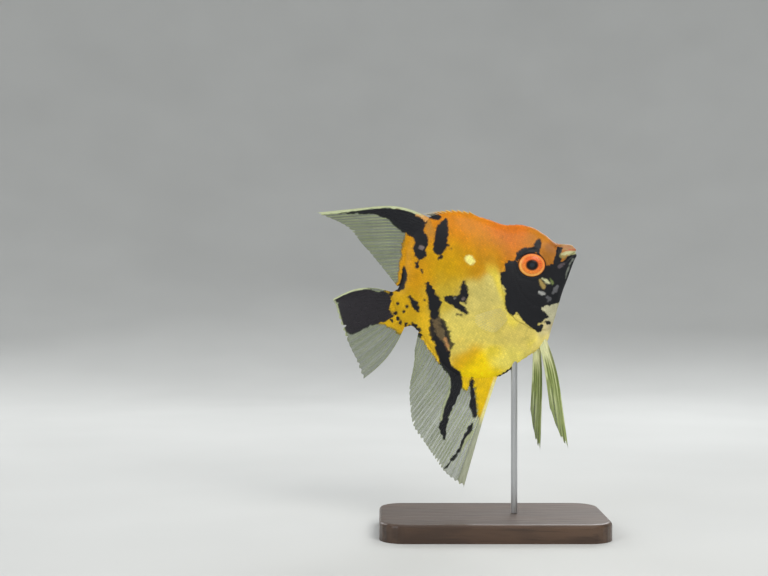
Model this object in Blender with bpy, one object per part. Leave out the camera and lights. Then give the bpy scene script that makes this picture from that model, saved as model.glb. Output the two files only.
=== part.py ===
"""Freshwater angelfish, a still life-size display model on a plain stand.

The fish is laid out level, in its own frame, and then pitched nose-up on the stand. In that frame a point
is (back, height): how far it lies behind the tip of the snout and above the long axis, both as shares of the
standard length (snout to tail base). +X is forward, +Y the fish's left and +Z up, in metres.
"""

import math
from collections import namedtuple

import bmesh
import bpy
from mathutils import Matrix, Vector

# ---- Driving dimensions -------------------------------------------------------------------------------
STANDARD_LENGTH = 0.095
PITCH = math.radians(18.0)
SNOUT_TIP = Vector((0.0422, 0.0, 0.1392))
GAP = 0.0003
SPECK = 0.000004

BASE_LENGTH = 0.112
BASE_WIDTH = 0.064
BASE_HEIGHT = 0.009
BASE_CORNER = 0.012
BASE_BEVEL = 0.0016
ROD_RADIUS = 0.0016
ROD_BACK = 0.500
ROD_DEPTH = 0.0075

# ---- Body outline, as shares of the standard length ---------------------------------------------------
BACK_LINE = [
    (0.000, 0.010), (0.014, 0.040), (0.045, 0.055), (0.092, 0.077), (0.132, 0.134), (0.180, 0.188),
    (0.240, 0.225), (0.315, 0.249), (0.400, 0.310), (0.480, 0.362), (0.570, 0.400), (0.660, 0.411),
    (0.740, 0.378), (0.830, 0.313), (0.885, 0.222), (0.930, 0.130), (0.960, 0.101), (1.000, 0.098),
]
BELLY_LINE = [
    (0.000, -0.010), (0.015, -0.030), (0.045, -0.066), (0.085, -0.118), (0.136, -0.181), (0.198, -0.271),
    (0.250, -0.345), (0.297, -0.407), (0.350, -0.428), (0.450, -0.456), (0.590, -0.500), (0.690, -0.482),
    (0.770, -0.448), (0.825, -0.390), (0.875, -0.280), (0.916, -0.150), (0.948, -0.106), (1.000, -0.104),
]
HALF_WIDTH = [
    (0.000, 0.010), (0.020, 0.024), (0.060, 0.036), (0.120, 0.050), (0.200, 0.063), (0.300, 0.074),
    (0.400, 0.081), (0.500, 0.081), (0.620, 0.072), (0.750, 0.056), (0.860, 0.041), (0.940, 0.031),
    (1.000, 0.026),
]
WIDEST_HEIGHT = [(0.00, 0.000), (0.25, -0.010), (0.40, -0.070), (0.60, -0.050), (0.80, -0.020), (1.00, 0.000)]
KEEL_SHARPNESS = [(0.00, 1.00), (0.15, 1.10), (0.35, 1.25), (0.60, 1.40), (1.00, 1.25)]
BODY_STATIONS = 40
SIDE_STEPS = 12

# ---- Partings between the sub-parts -------------------------------------------------------------------
GILL_OPENING = [
    (0.300, 0.330), (0.345, 0.215), (0.395, 0.100), (0.435, 0.010), (0.454, -0.090), (0.452, -0.190),
    (0.415, -0.268), (0.340, -0.330), (0.240, -0.385),
]
GILL_COVER = [
    (0.340, 0.110), (0.343, 0.020), (0.343, -0.080), (0.320, -0.180), (0.258, -0.262), (0.275, -0.318),
    (0.340, -0.390), (0.520, -0.300), (0.520, 0.050), (0.420, 0.140),
]
GILL_COVER_FLOOR = 0.046
TAIL_STALK_CUT = [(0.915, 0.330), (0.926, 0.120), (0.930, 0.000), (0.926, -0.140), (0.905, -0.360)]
UPPER_JAW_CUT = [(0.045, 0.090), (0.062, 0.047), (0.093, 0.036), (0.110, 0.008), (0.114, -0.021)]
LOWER_JAW_CUT = [(0.114, -0.019), (0.127, -0.070), (0.128, -0.120), (0.112, -0.200)]
MOUTH_CUT = [(-0.030, -0.008), (0.030, -0.012), (0.075, -0.013), (0.115, -0.020)]

# ---- Eyes ---------------------------------------------------------------------------------------------
EYE_BACK, EYE_HEIGHT = 0.255, 0.004
EYE_LONG_RADIUS, EYE_SHORT_RADIUS, EYE_DEPTH_RADIUS = 0.075, 0.065, 0.030
EYE_OUT = 0.055
NOSTRIL_BACK, NOSTRIL_HEIGHT, NOSTRIL_RADIUS = 0.103, 0.056, 0.0075

# ---- Fins: key rays (root back, root height, start and end heading in degrees above tailward, length) -
Ray = namedtuple("Ray", "back height start end length")
DORSAL_RAYS = [
    Ray(0.668, 0.385, 48, 12, 0.625), Ray(0.735, 0.340, 38, 16, 0.400), Ray(0.815, 0.285, 28, 16, 0.250),
    Ray(0.875, 0.190, 20, 12, 0.118), Ray(0.915, 0.110, 12, 8, 0.036),
]
ANAL_RAYS = [
    Ray(0.580, -0.465, -53, -56, 0.640), Ray(0.650, -0.455, -58, -42, 0.550),
    Ray(0.735, -0.420, -56, -40, 0.455),
    Ray(0.805, -0.365, -48, -34, 0.370), Ray(0.860, -0.240, -48, -40, 0.265),
    Ray(0.905, -0.130, -54, -60, 0.120),
]
TAIL_RAYS = [
    Ray(0.968, 0.078, 38, -12, 0.352), Ray(0.968, 0.040, 20, 2, 0.328), Ray(0.968, 0.000, -2, -8, 0.322),
    Ray(0.968, -0.040, -26, -16, 0.330), Ray(0.968, -0.082, -50, -20, 0.372),
]
SPINY_RAYS = [
    Ray(0.430, 0.315, 58, 50, 0.075), Ray(0.500, 0.352, 53, 44, 0.076), Ray(0.570, 0.380, 45, 34, 0.073),
    Ray(0.620, 0.390, 43, 34, 0.068), Ray(0.650, 0.392, 46, 38, 0.066),
]
PELVIC_RAYS = [
    Ray(0.300, -0.385, -93, -79, 0.575), Ray(0.319, -0.392, -90, -79, 0.500),
    Ray(0.338, -0.400, -86, -78, 0.330),
]
LEFT_PELVIC_BACK, LEFT_PELVIC_SWING = 0.034, 15
PECTORAL_RAYS = [
    Ray(-0.030, 0.022, 14, 2, 0.200), Ray(-0.030, 0.012, 4, -4, 0.215), Ray(-0.030, 0.000, -8, -10, 0.200),
    Ray(-0.030, -0.012, -20, -16, 0.165), Ray(-0.030, -0.022, -32, -24, 0.125),
]
SWEEP, FAN = 0.55, 1.0
FIN_EDGE = 0.00055
PECTORAL_BACK, PECTORAL_HEIGHT = 0.468, -0.190
PECTORAL_SWING = math.radians(24.0)

SKIN = dict(colour=(0.86, 0.50, 0.06), roughness=0.45)
FIN_SKIN = dict(colour=(0.55, 0.56, 0.42), roughness=0.4)
TAIL_SKIN = dict(colour=(0.05, 0.04, 0.05), roughness=0.5)
EYE_GLASS = dict(colour=(0.85, 0.22, 0.04), roughness=0.15)
DARK_WOOD = dict(colour=(0.07, 0.035, 0.02), roughness=0.35)
STEEL = dict(colour=(0.62, 0.62, 0.63), roughness=0.25, metallic=1.0)


# ---- Small tools --------------------------------------------------------------------------------------
def curve_through(keys):
    """A smooth function through (x, value) keys that never swings past them: a monotone cubic."""
    steps = [(b[1] - a[1]) / (b[0] - a[0]) for a, b in zip(keys, keys[1:])]
    slopes = [steps[0]]
    for before, after in zip(steps, steps[1:]):
        slopes.append(0.0 if before * after <= 0 else 2 * before * after / (before + after))
    slopes.append(steps[-1])

    def value(x):
        i = 0
        while i < len(keys) - 2 and x > keys[i + 1][0]:
            i += 1
        (x0, y0), (x1, y1) = keys[i], keys[i + 1]
        t = min(max((x - x0) / (x1 - x0), 0.0), 1.0)
        width = x1 - x0
        return (
            y0 * (1 + 2 * t) * (1 - t) ** 2
            + y1 * t * t * (3 - 2 * t)
            + width * slopes[i] * t * (1 - t) ** 2
            - width * slopes[i + 1] * t * t * (1 - t)
        )

    return value


def smooth_line(points, steps=3):
    """The points of a Catmull-Rom curve through the given ones."""
    ends = [points[0], *points, points[-1]]
    line = []
    for a, b, c, d in zip(ends, ends[1:], ends[2:], ends[3:]):
        for k in range(steps):
            t = k / steps
            line.append(tuple(
                0.5 * (2 * q + t * (r - p) + t**2 * (2 * p - 5 * q + 4 * r - s) + t**3 * (3 * (q - r) - p + s))
                for p, q, r, s in zip(a, b, c, d)
            ))
    return [*line, points[-1]]


def at(back, height, side=0.0):
    """A point of the level fish, in metres, from shares of the standard length."""
    return Vector((-back, side, height)) * STANDARD_LENGTH


def material(name, colour, roughness, metallic=0.0):
    made = bpy.data.materials.get(name) or bpy.data.materials.new(name)
    made.use_nodes = True
    shader = made.node_tree.nodes["Principled BSDF"]
    shader.inputs["Base Color"].default_value = (*colour, 1.0)
    shader.inputs["Roughness"].default_value = roughness
    shader.inputs["Metallic"].default_value = metallic
    return made


def solid(name, build):
    """A new object whose mesh is what build(bm) makes, with its faces pointing out."""
    bm = bmesh.new()
    build(bm)
    bmesh.ops.recalc_face_normals(bm, faces=bm.faces)
    mesh = bpy.data.meshes.new(name)
    bm.to_mesh(mesh)
    bm.free()
    made = bpy.data.objects.new(name, mesh)
    bpy.context.scene.collection.objects.link(made)
    return made


def finish(obj, finish_name, look):
    obj.data.materials.clear()
    obj.data.materials.append(material(finish_name, **look))
    obj.data.shade_smooth()
    obj.data.set_sharp_from_angle(angle=math.radians(40))


def cut_with(obj, cutters):
    """Takes all the cutters out of obj in one exact Boolean."""
    group = bpy.data.collections.new("cutters")
    for cutter in cutters:
        group.objects.link(cutter)
    step = obj.modifiers.new("Cut", "BOOLEAN")
    step.operation = "DIFFERENCE"
    step.solver = "EXACT"
    step.use_self = True
    step.operand_type = "COLLECTION"
    step.collection = group
    graph = bpy.context.evaluated_depsgraph_get()
    mesh = bpy.data.meshes.new_from_object(obj.evaluated_get(graph))
    obj.modifiers.clear()
    obj.data = mesh
    bpy.data.collections.remove(group)

    bm = bmesh.new()
    bm.from_mesh(mesh)
    bmesh.ops.remove_doubles(bm, verts=bm.verts, dist=SPECK)
    bmesh.ops.dissolve_degenerate(bm, edges=bm.edges, dist=SPECK)
    bmesh.ops.triangulate(bm, faces=bm.faces)
    bm.to_mesh(mesh)
    bm.free()


def copy_of(obj, name):
    made = bpy.data.objects.new(name, obj.data.copy())
    bpy.context.scene.collection.objects.link(made)
    return made


def remove(*helpers):
    for helper in helpers:
        bpy.data.objects.remove(helper)


# ---- Body ---------------------------------------------------------------------------------------------
back_line = curve_through(BACK_LINE)
belly_line = curve_through(BELLY_LINE)
half_width = curve_through(HALF_WIDTH)
widest_height = curve_through(WIDEST_HEIGHT)
keel_sharpness = curve_through(KEEL_SHARPNESS)


def section_point(back, turn, grow):
    """The skin of one cross-section: turn runs from -90 degrees at the belly to 90 at the back."""
    middle = widest_height(back)
    edge = back_line(back) + grow if turn > 0 else belly_line(back) - grow
    height = middle + (edge - middle) * abs(math.sin(turn))
    side = (half_width(back) + grow) * max(math.cos(turn), 0.0) ** keel_sharpness(back)
    return height, side


def body(name, grow=0.0):
    """The whole fish without fins, lofted through its cross-sections; grow is in shares of the length."""

    def build(bm):
        rings = []
        for i in range(BODY_STATIONS):
            share = i / (BODY_STATIONS - 1)
            back = share**1.25
            turns = [math.pi * (k / SIDE_STEPS - 0.5) for k in range(SIDE_STEPS + 1)]
            right = [section_point(back, turn, grow) for turn in turns]
            ring = [at(back - grow * (1 - 2 * share), height, -side) for height, side in right]
            ring += [at(back - grow * (1 - 2 * share), height, side) for height, side in reversed(right[1:-1])]
            rings.append([bm.verts.new(point) for point in ring])
        for ring, following in zip(rings, rings[1:]):
            for k in range(len(ring)):
                after = (k + 1) % len(ring)
                bm.faces.new((ring[k], ring[after], following[after], following[k]))
        bm.faces.new(rings[0])
        bm.faces.new(rings[-1])
        bmesh.ops.triangulate(bm, faces=bm.faces)

    return solid(name, build)


def wall(name, points, reach=0.2):
    """A thin upright wall along a smooth line of (back, height) points, one gap thick, that parts the body."""
    line = [at(*point) for point in smooth_line(points)]

    def build(bm):
        sides = []
        for i, point in enumerate(line):
            ahead = line[min(i + 1, len(line) - 1)] - line[max(i - 1, 0)]
            across = Vector((-ahead.z, 0.0, ahead.x)).normalized() * (GAP / 2)
            sides.append((point + across, point - across))
        rings = []
        for left, right in sides:
            reach_out = Vector((0.0, reach * STANDARD_LENGTH, 0.0))
            corners = (left - reach_out, right - reach_out, right + reach_out, left + reach_out)
            rings.append([bm.verts.new(corner) for corner in corners])
        for ring, following in zip(rings, rings[1:]):
            for k in range(4):
                after = (k + 1) % 4
                bm.faces.new((ring[k], ring[after], following[after], following[k]))
        bm.faces.new(rings[0])
        bm.faces.new(rings[-1])

    return solid(name, build)


def cup(name, side):
    """The gap round a gill cover: a thin-walled cup that opens away from the head."""
    closed = [at(*point) for point in smooth_line([*GILL_COVER, GILL_COVER[0]])[:-1]]
    edges = []
    for before, spot, after in zip(closed[-1:] + closed[:-1], closed, closed[1:] + closed[:1]):
        along = after - before
        edges.append((spot, spot + Vector((-along.z, 0.0, along.x)).normalized() * GAP))
    floor = GILL_COVER_FLOOR * STANDARD_LENGTH
    outer = 0.2 * STANDARD_LENGTH

    def build(bm):
        rings = []
        for which, depth in ((0, floor), (0, outer), (1, outer), (1, floor - GAP)):
            rings.append([bm.verts.new((edge[which].x, side * depth, edge[which].z)) for edge in edges])
        for ring, following in zip(rings, rings[1:]):
            for k in range(len(ring)):
                after = (k + 1) % len(ring)
                bm.faces.new((ring[k], ring[after], following[after], following[k]))
        bm.faces.new(rings[0])
        bm.faces.new(rings[-1])

    return solid(name, build)


def loose_pieces(obj):
    """The separate closed shells of obj, as lists of its faces, largest first."""
    bm = bmesh.new()
    bm.from_mesh(obj.data)
    seen, shells = set(), []
    for start in bm.faces:
        if start in seen:
            continue
        shell, edge = [], [start]
        seen.add(start)
        while edge:
            face = edge.pop()
            shell.append(face)
            for side in face.edges:
                for other in side.link_faces:
                    if other not in seen:
                        seen.add(other)
                        edge.append(other)
        shells.append({vert.index for face in shell for vert in face.verts})
    bm.free()
    return sorted(shells, key=len, reverse=True)


def keep_piece(obj, name, inside):
    """A copy of the shell of obj whose middle is nearest to the (back, height, side) point inside."""
    target = at(*inside)

    def distance(shell):
        spots = [obj.data.vertices[i].co for i in shell]
        low = Vector(min(spot[k] for spot in spots) for k in range(3))
        high = Vector(max(spot[k] for spot in spots) for k in range(3))
        return ((low + high) / 2 - target).length

    shell = min(loose_pieces(obj), key=distance)
    made = copy_of(obj, name)
    bm = bmesh.new()
    bm.from_mesh(made.data)
    bm.verts.ensure_lookup_table()
    bmesh.ops.delete(bm, geom=[vert for vert in bm.verts if vert.index not in shell], context="VERTS")
    bmesh.ops.recalc_face_normals(bm, faces=bm.faces)
    bm.to_mesh(made.data)
    bm.free()
    return made


def eyeball(name, side, grow=0.0, around=20):
    """A flattened ball, longer along the ground than upright, that sits in a side of the head."""

    def build(bm):
        bmesh.ops.create_uvsphere(bm, u_segments=around, v_segments=around // 2, radius=1.0)
        radii = (EYE_LONG_RADIUS, EYE_DEPTH_RADIUS, EYE_SHORT_RADIUS)
        size = Matrix.Diagonal([radius * STANDARD_LENGTH + grow for radius in radii]).to_4x4()
        level = Matrix.Rotation(PITCH, 4, "Y")
        place = Matrix.Translation(at(EYE_BACK, EYE_HEIGHT, side * EYE_OUT))
        poles_out = Matrix.Rotation(math.pi / 2, 4, "X")
        bmesh.ops.transform(bm, matrix=place @ level @ size @ poles_out, verts=bm.verts)

    return solid(name, build)


def nostril(name, side):
    """A small ball set in the snout, that leaves a round pit."""
    middle = widest_height(NOSTRIL_BACK)
    rise = (NOSTRIL_HEIGHT - middle) / (back_line(NOSTRIL_BACK) - middle)
    out = section_point(NOSTRIL_BACK, math.asin(rise), 0.0)[1]

    def build(bm):
        bmesh.ops.create_icosphere(bm, subdivisions=1, radius=NOSTRIL_RADIUS * STANDARD_LENGTH)
        bmesh.ops.translate(bm, verts=bm.verts, vec=at(NOSTRIL_BACK, NOSTRIL_HEIGHT, side * out))

    return solid(name, build)


def flesh():
    """The body as head, jaws, gill covers, trunk and tail stalk, parted by gaps, with sockets and nostrils."""
    whole = body("whole_body")
    partings = (GILL_OPENING, TAIL_STALK_CUT, UPPER_JAW_CUT, LOWER_JAW_CUT, MOUTH_CUT)
    cutters = [wall(f"parting_{number}", points) for number, points in enumerate(partings)]
    for side in (-1, 1):
        cutters += [eyeball("socket", side, GAP, 16), nostril("nostril", side)]
    cut_with(whole, cutters)
    remove(*cutters)
    middles = {
        "upper_jaw": (0.055, 0.015),
        "lower_jaw": (0.070, -0.080),
        "trunk": (0.580, -0.040),
        "tail_stalk": (0.965, 0.000),
    }
    pieces = [keep_piece(whole, name, middle) for name, middle in middles.items()]

    face = keep_piece(whole, "face", (0.26, -0.04))
    cups = [cup("cup", side) for side in (-1, 1)]
    cut_with(face, cups)
    middles = {
        "head": (0.26, -0.04, 0.0),
        "gill_cover_right": (0.37, -0.14, -0.06),
        "gill_cover_left": (0.37, -0.14, 0.06),
    }
    pieces += [keep_piece(face, name, middle) for name, middle in middles.items()]
    remove(whole, face, *cups)
    return pieces


def eyes():
    return [eyeball("eye_right", -1), eyeball("eye_left", 1)]


# ---- Fins ---------------------------------------------------------------------------------------------
def ray_at(rays, share):
    """The fin ray at a share of the way from the first key ray to the last."""
    places = [i / (len(rays) - 1) for i in range(len(rays))]
    return Ray(*(curve_through(list(zip(places, column)))(share) for column in zip(*rays)))


def ray_points(ray, steps, bend):
    """Points along a ray, (back, height), whose heading turns from start to end by the share bend."""
    back, height = ray.back, ray.height
    points = [(back, height)]
    for k in range(steps):
        share = min((k + 0.5) / steps / bend, 1.0)
        heading = math.radians(ray.start + (ray.end - ray.start) * share * share * (3 - 2 * share))
        back += ray.length / steps * math.cos(heading)
        height += ray.length / steps * math.sin(heading)
        points.append((back, height))
    return points


def fin(name, rays, count, steps, root_thickness, lean, bend=SWEEP):
    """A fin as a thin plate through count rays; lean(across, along) is how far it stands to the fish's left."""

    def build(bm):
        sheets = []
        for side in (-1, 1):
            sheet = []
            for i in range(count):
                across = i / (count - 1)
                line = ray_points(ray_at(rays, across), steps, bend)
                column = []
                for k, (back, height) in enumerate(line):
                    along = k / steps
                    thickness = root_thickness + (FIN_EDGE - root_thickness) * min(along * 1.6, 1.0)
                    spot = at(back, height, lean(across, along)) + Vector((0, side * thickness / 2, 0))
                    column.append(bm.verts.new(spot))
                sheet.append(column)
            sheets.append(sheet)
        rim = [(i, 0) for i in range(count)] + [(count - 1, k) for k in range(1, steps + 1)]
        rim += [(i, steps) for i in reversed(range(count - 1))] + [(0, k) for k in reversed(range(1, steps))]
        for i in range(count - 1):
            for k in range(steps):
                for sheet in sheets:
                    bm.faces.new((sheet[i][k], sheet[i + 1][k], sheet[i + 1][k + 1], sheet[i][k + 1]))
        for (i, k), (j, m) in zip(rim, rim[1:] + rim[:1]):
            bm.faces.new((sheets[0][i][k], sheets[0][j][m], sheets[1][j][m], sheets[1][i][k]))
        bmesh.ops.triangulate(bm, faces=bm.faces)

    return solid(name, build)


def wave(size, turns, start=0.0):
    """A lean that grows along the rays and ripples across them."""
    return lambda across, along: size * along * along * math.sin(2 * math.pi * (turns * across + start))


def fins(flesh_cutter):
    """All fins, each cut back to the skin, which it meets with a gap."""
    made = [
        fin("fin_dorsal_spines", SPINY_RAYS, 14, 3, 0.0009, wave(0.004, 1.0)),
        fin("fin_dorsal", DORSAL_RAYS, 18, 12, 0.0014, wave(0.022, 0.8, 0.05)),
        fin("fin_anal", ANAL_RAYS, 20, 10, 0.0016, wave(-0.020, 0.9, 0.1)),
        fin("fin_tail", TAIL_RAYS, 19, 8, 0.0024, wave(0.024, 1.1, 0.15), FAN),
    ]
    for side, word in ((-1, "right"), (1, "left")):
        back, swing = (LEFT_PELVIC_BACK, LEFT_PELVIC_SWING) if side > 0 else (0.0, 0)
        moved = (back, -back / 3, swing, swing / 2, 0)
        rays = [Ray(*(value + change for value, change in zip(ray, moved))) for ray in PELVIC_RAYS]
        splay = lambda across, along, side=side: side * (0.016 + 0.070 * along**1.3 - 0.012 * across)
        made.append(fin(f"fin_pelvic_{word}", rays, 4, 12, 0.0014, splay))
        cupped = lambda across, along, side=side: side * 0.018 * along * along * math.sin(math.pi * across)
        pectoral = fin(f"fin_pectoral_{word}", PECTORAL_RAYS, 9, 7, 0.0014, cupped)
        out = half_width(PECTORAL_BACK) * math.cos(math.radians(20)) - 0.004
        turn = Matrix.Rotation(-side * PECTORAL_SWING, 4, "Z")
        pectoral.data.transform(Matrix.Translation(at(PECTORAL_BACK, PECTORAL_HEIGHT, side * out)) @ turn)
        made.append(pectoral)
    for made_fin in made:
        cut_with(made_fin, [flesh_cutter])
    return made


# ---- Stand --------------------------------------------------------------------------------------------
def stand_base():
    """A flat board with round corners, bevelled round its top."""

    def build(bm):
        corners = []
        for quarter, (x, y) in enumerate(((1, 1), (-1, 1), (-1, -1), (1, -1))):
            for k in range(7):
                angle = math.pi / 2 * (quarter + k / 6)
                corners.append((
                    x * (BASE_LENGTH / 2 - BASE_CORNER) + BASE_CORNER * math.cos(angle),
                    y * (BASE_WIDTH / 2 - BASE_CORNER) + BASE_CORNER * math.sin(angle),
                ))
        bottom = bm.faces.new([bm.verts.new((x, y, 0.0)) for x, y in corners])
        raised = bmesh.ops.extrude_face_region(bm, geom=[bottom])["geom"]
        top = [item for item in raised if isinstance(item, bmesh.types.BMVert)]
        bmesh.ops.translate(bm, verts=top, vec=(0, 0, BASE_HEIGHT))
        rim = [edge for edge in bm.edges if all(vert in top for vert in edge.verts)]
        bmesh.ops.bevel(bm, geom=rim, offset=BASE_BEVEL, segments=3, profile=0.5, affect="EDGES")

    return solid("stand_base", build)


def stand_rod(grow=0.0):
    """An upright rod from the board up into the belly; grow makes it the drill for its own hole."""
    belly = posed(at(ROD_BACK, belly_line(ROD_BACK)))
    foot = BASE_HEIGHT + GAP
    top = belly.z + ROD_DEPTH + grow

    def build(bm):
        bmesh.ops.create_cone(
            bm, cap_ends=True, segments=20, depth=top - foot, radius1=ROD_RADIUS + grow,
            radius2=ROD_RADIUS + grow,
        )
        bmesh.ops.translate(bm, verts=bm.verts, vec=(belly.x, 0.0, (top + foot) / 2))

    return solid("stand_rod", build)


# ---- The whole model ----------------------------------------------------------------------------------
def posed(point):
    """A point of the level fish in the frame of the stand."""
    return SNOUT_TIP + Matrix.Rotation(-PITCH, 3, "Y") @ point


def main():
    for obj in list(bpy.data.objects):
        bpy.data.objects.remove(obj)
    pose = bpy.data.objects.new("fish", None)
    bpy.context.scene.collection.objects.link(pose)
    pose.location = SNOUT_TIP
    pose.rotation_euler = (0.0, -PITCH, 0.0)

    cutter = body("flesh_cutter", GAP / STANDARD_LENGTH)
    for piece in flesh():
        finish(piece, "skin", SKIN)
        piece.parent = pose
    for eye in eyes():
        finish(eye, "eye", EYE_GLASS)
        eye.parent = pose
    for made_fin in fins(cutter):
        look = ("dark_fin", TAIL_SKIN) if made_fin.name == "fin_tail" else ("fin", FIN_SKIN)
        finish(made_fin, *look)
        made_fin.parent = pose
    remove(cutter)

    bpy.context.view_layer.update()
    drill = stand_rod(GAP)
    cut_with(bpy.data.objects["trunk"], [drill])
    remove(drill)
    finish(stand_rod(), "steel", STEEL)
    finish(stand_base(), "wood", DARK_WOOD)


main()
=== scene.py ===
# %% [markdown]
# # A freshwater angelfish
# This is a still, life-size museum model of a freshwater angelfish: a tall, thin yellow and cream fish with
# black marbling, on a small stand. The solid model gives its measured parts, and this script dresses them.
# It makes one skin, the scales that cover it, the eyes, the fins with their rays, and the finishes.

# %% Load the solid model
import math
from collections import namedtuple

import bmesh
import bpy
import numpy as np
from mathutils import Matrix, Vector


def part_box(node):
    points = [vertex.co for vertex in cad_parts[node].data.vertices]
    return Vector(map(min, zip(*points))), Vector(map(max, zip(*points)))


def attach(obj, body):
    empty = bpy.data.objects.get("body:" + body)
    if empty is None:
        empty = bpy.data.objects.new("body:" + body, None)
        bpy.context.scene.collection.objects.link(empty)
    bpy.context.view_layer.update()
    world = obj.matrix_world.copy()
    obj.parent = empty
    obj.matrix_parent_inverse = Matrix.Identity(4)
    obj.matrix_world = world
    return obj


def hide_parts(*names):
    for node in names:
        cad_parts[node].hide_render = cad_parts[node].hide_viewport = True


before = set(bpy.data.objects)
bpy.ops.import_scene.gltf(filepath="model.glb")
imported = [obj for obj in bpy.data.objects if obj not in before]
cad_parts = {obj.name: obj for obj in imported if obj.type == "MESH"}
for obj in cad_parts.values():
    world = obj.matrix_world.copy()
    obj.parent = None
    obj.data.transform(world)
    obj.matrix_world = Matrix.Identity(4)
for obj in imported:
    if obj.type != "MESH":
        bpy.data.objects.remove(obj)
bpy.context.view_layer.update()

# %% [markdown]
# ## The lines of the body
# The fish is drawn level first. A place on it is (back, height): how far it lies behind the snout and above
# the long axis, as shares of the standard length, which runs from the snout to the base of the tail. A few
# stations, in thousandths of that length, give the back, the belly, the width and the roundness of the
# cross-sections. A monotone cubic joins them, because it never swings past a station as a plain spline
# does.

# %% The lines of the body
LENGTH = 0.095
PITCH = math.radians(18)
COS, SIN = math.cos(PITCH), math.sin(PITCH)
SIDES = ((-1, "right"), (1, "left"))


def thousandths(item):
    """Turns a table of thousandths of the length into shares of it; names and colour codes stay."""
    if isinstance(item, dict):
        return {name: thousandths(value) for name, value in item.items()}
    if isinstance(item, (list, tuple)):
        return type(item)(map(thousandths, item))
    return item if isinstance(item, str) else item / 1000


def curve_through(keys):
    """A smooth function through (place, value) keys that never swings past them."""
    place, value = np.array(keys, float).T
    width = np.diff(place)
    slope = np.diff(value) / width
    level = slope[:-1] * slope[1:] <= 0
    mean = 2 * slope[:-1] * slope[1:] / np.where(level, 1.0, slope[:-1] + slope[1:])
    tangent = np.concatenate([slope[:1], np.where(level, 0.0, mean), slope[-1:]])

    def line(x):
        x = np.asarray(x, float)
        i = np.clip(np.searchsorted(place, x, side="right") - 1, 0, len(width) - 1)
        t = np.clip((x - place[i]) / width[i], 0, 1)
        bend = width[i] * t * (1 - t) * (tangent[i] * (1 - t) - tangent[i + 1] * t)
        return value[i] * (1 + 2 * t) * (1 - t) ** 2 + value[i + 1] * t * t * (3 - 2 * t) + bend

    return line


back_line = curve_through(thousandths([
    (0, 10), (14, 40), (45, 55), (92, 77), (132, 134), (180, 188), (240, 225), (315, 249), (400, 310),
    (480, 362), (570, 400), (660, 411), (740, 378), (830, 313), (885, 222), (930, 130), (960, 101),
    (1000, 98),
]))
belly_line = curve_through(thousandths([
    (0, -10), (15, -30), (45, -66), (85, -118), (136, -181), (198, -271), (250, -345), (297, -407),
    (350, -428), (450, -456), (590, -500), (690, -482), (770, -448), (825, -390), (875, -280), (916, -150),
    (948, -106), (1000, -104),
]))
half_width = curve_through(thousandths([
    (0, 10), (20, 24), (60, 36), (120, 50), (200, 63), (300, 74), (400, 81), (500, 81), (620, 72), (750, 56),
    (860, 41), (940, 31), (1000, 26),
]))
widest_height = curve_through(thousandths(
    [(0, 0), (250, -10), (400, -70), (600, -50), (800, -20), (1000, 0)]
))
keel_sharpness = curve_through([(0, 1.0), (0.15, 1.10), (0.35, 1.25), (0.60, 1.40), (1, 1.25)])


def smooth(x, low=0.0, high=1.0):
    """0 below low, 1 above high, and an S between."""
    t = np.clip((x - low) / (high - low), 0, 1)
    return t * t * (3 - 2 * t)


def bell(x, width):
    """1 at 0, and falling to nearly nothing two widths away."""
    return np.exp(-((x / width) ** 2))


def mix(a, b, t):
    """a at 0, b at 1."""
    return a + (b - a) * t


print("deepest body", round(float(back_line(0.6) - belly_line(0.6)) * LENGTH * 1000, 1), "mm")

# %% [markdown]
# ## Placing the fish
# The fish is pitched nose up on its stand. Its place comes from the solid model: the turned outline is slid
# until its middle is the middle of the box round the solid flesh.

# %% Placing the fish
FLESH = ("head", "upper_jaw", "lower_jaw", "gill_cover_right", "gill_cover_left", "trunk", "tail_stalk")


def turned(points):
    """Level points, as rows of metres, with the nose pitched up about the snout."""
    x, y, z = np.asarray(points, float).T
    return np.stack([x * COS - z * SIN, y, x * SIN + z * COS], axis=1)


def find_snout():
    """Where the snout is when the turned outline lies in the middle of the solid flesh."""
    corners = np.array([[list(corner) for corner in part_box(node)] for node in FLESH])
    low, high = corners[:, 0].min(axis=0), corners[:, 1].max(axis=0)
    share = np.linspace(0, 1, 400)
    edge = [np.stack([-share, share * 0, line(share)], axis=1) for line in (back_line, belly_line)]
    outline = turned(np.concatenate(edge) * LENGTH)
    return (low + high) / 2 - (outline.min(axis=0) + outline.max(axis=0)) / 2


SNOUT = find_snout()


def placed(back, height, side):
    """Places on the level fish, in shares of the length, as points on the stand in metres."""
    level = np.stack(np.broadcast_arrays(-back, side, height), axis=-1).reshape(-1, 3) * LENGTH
    return turned(level) + SNOUT


def level_of(points):
    """The (back, height) of points on the stand."""
    x, _, z = (points - SNOUT).T / LENGTH
    return -x * COS - z * SIN, z * COS - x * SIN


print("tip of the snout at", SNOUT.round(4))

# %% [markdown]
# ## Camera, floor and light
# The camera looks level at the fish's right side, as a visitor would. A wide round sweep, like a
# sheet of paper bent up into a wall, gives a plain pale floor with no horizon from any side. Large
# soft lamps keep the shadows faint, and a dim even world fills the rest.

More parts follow.
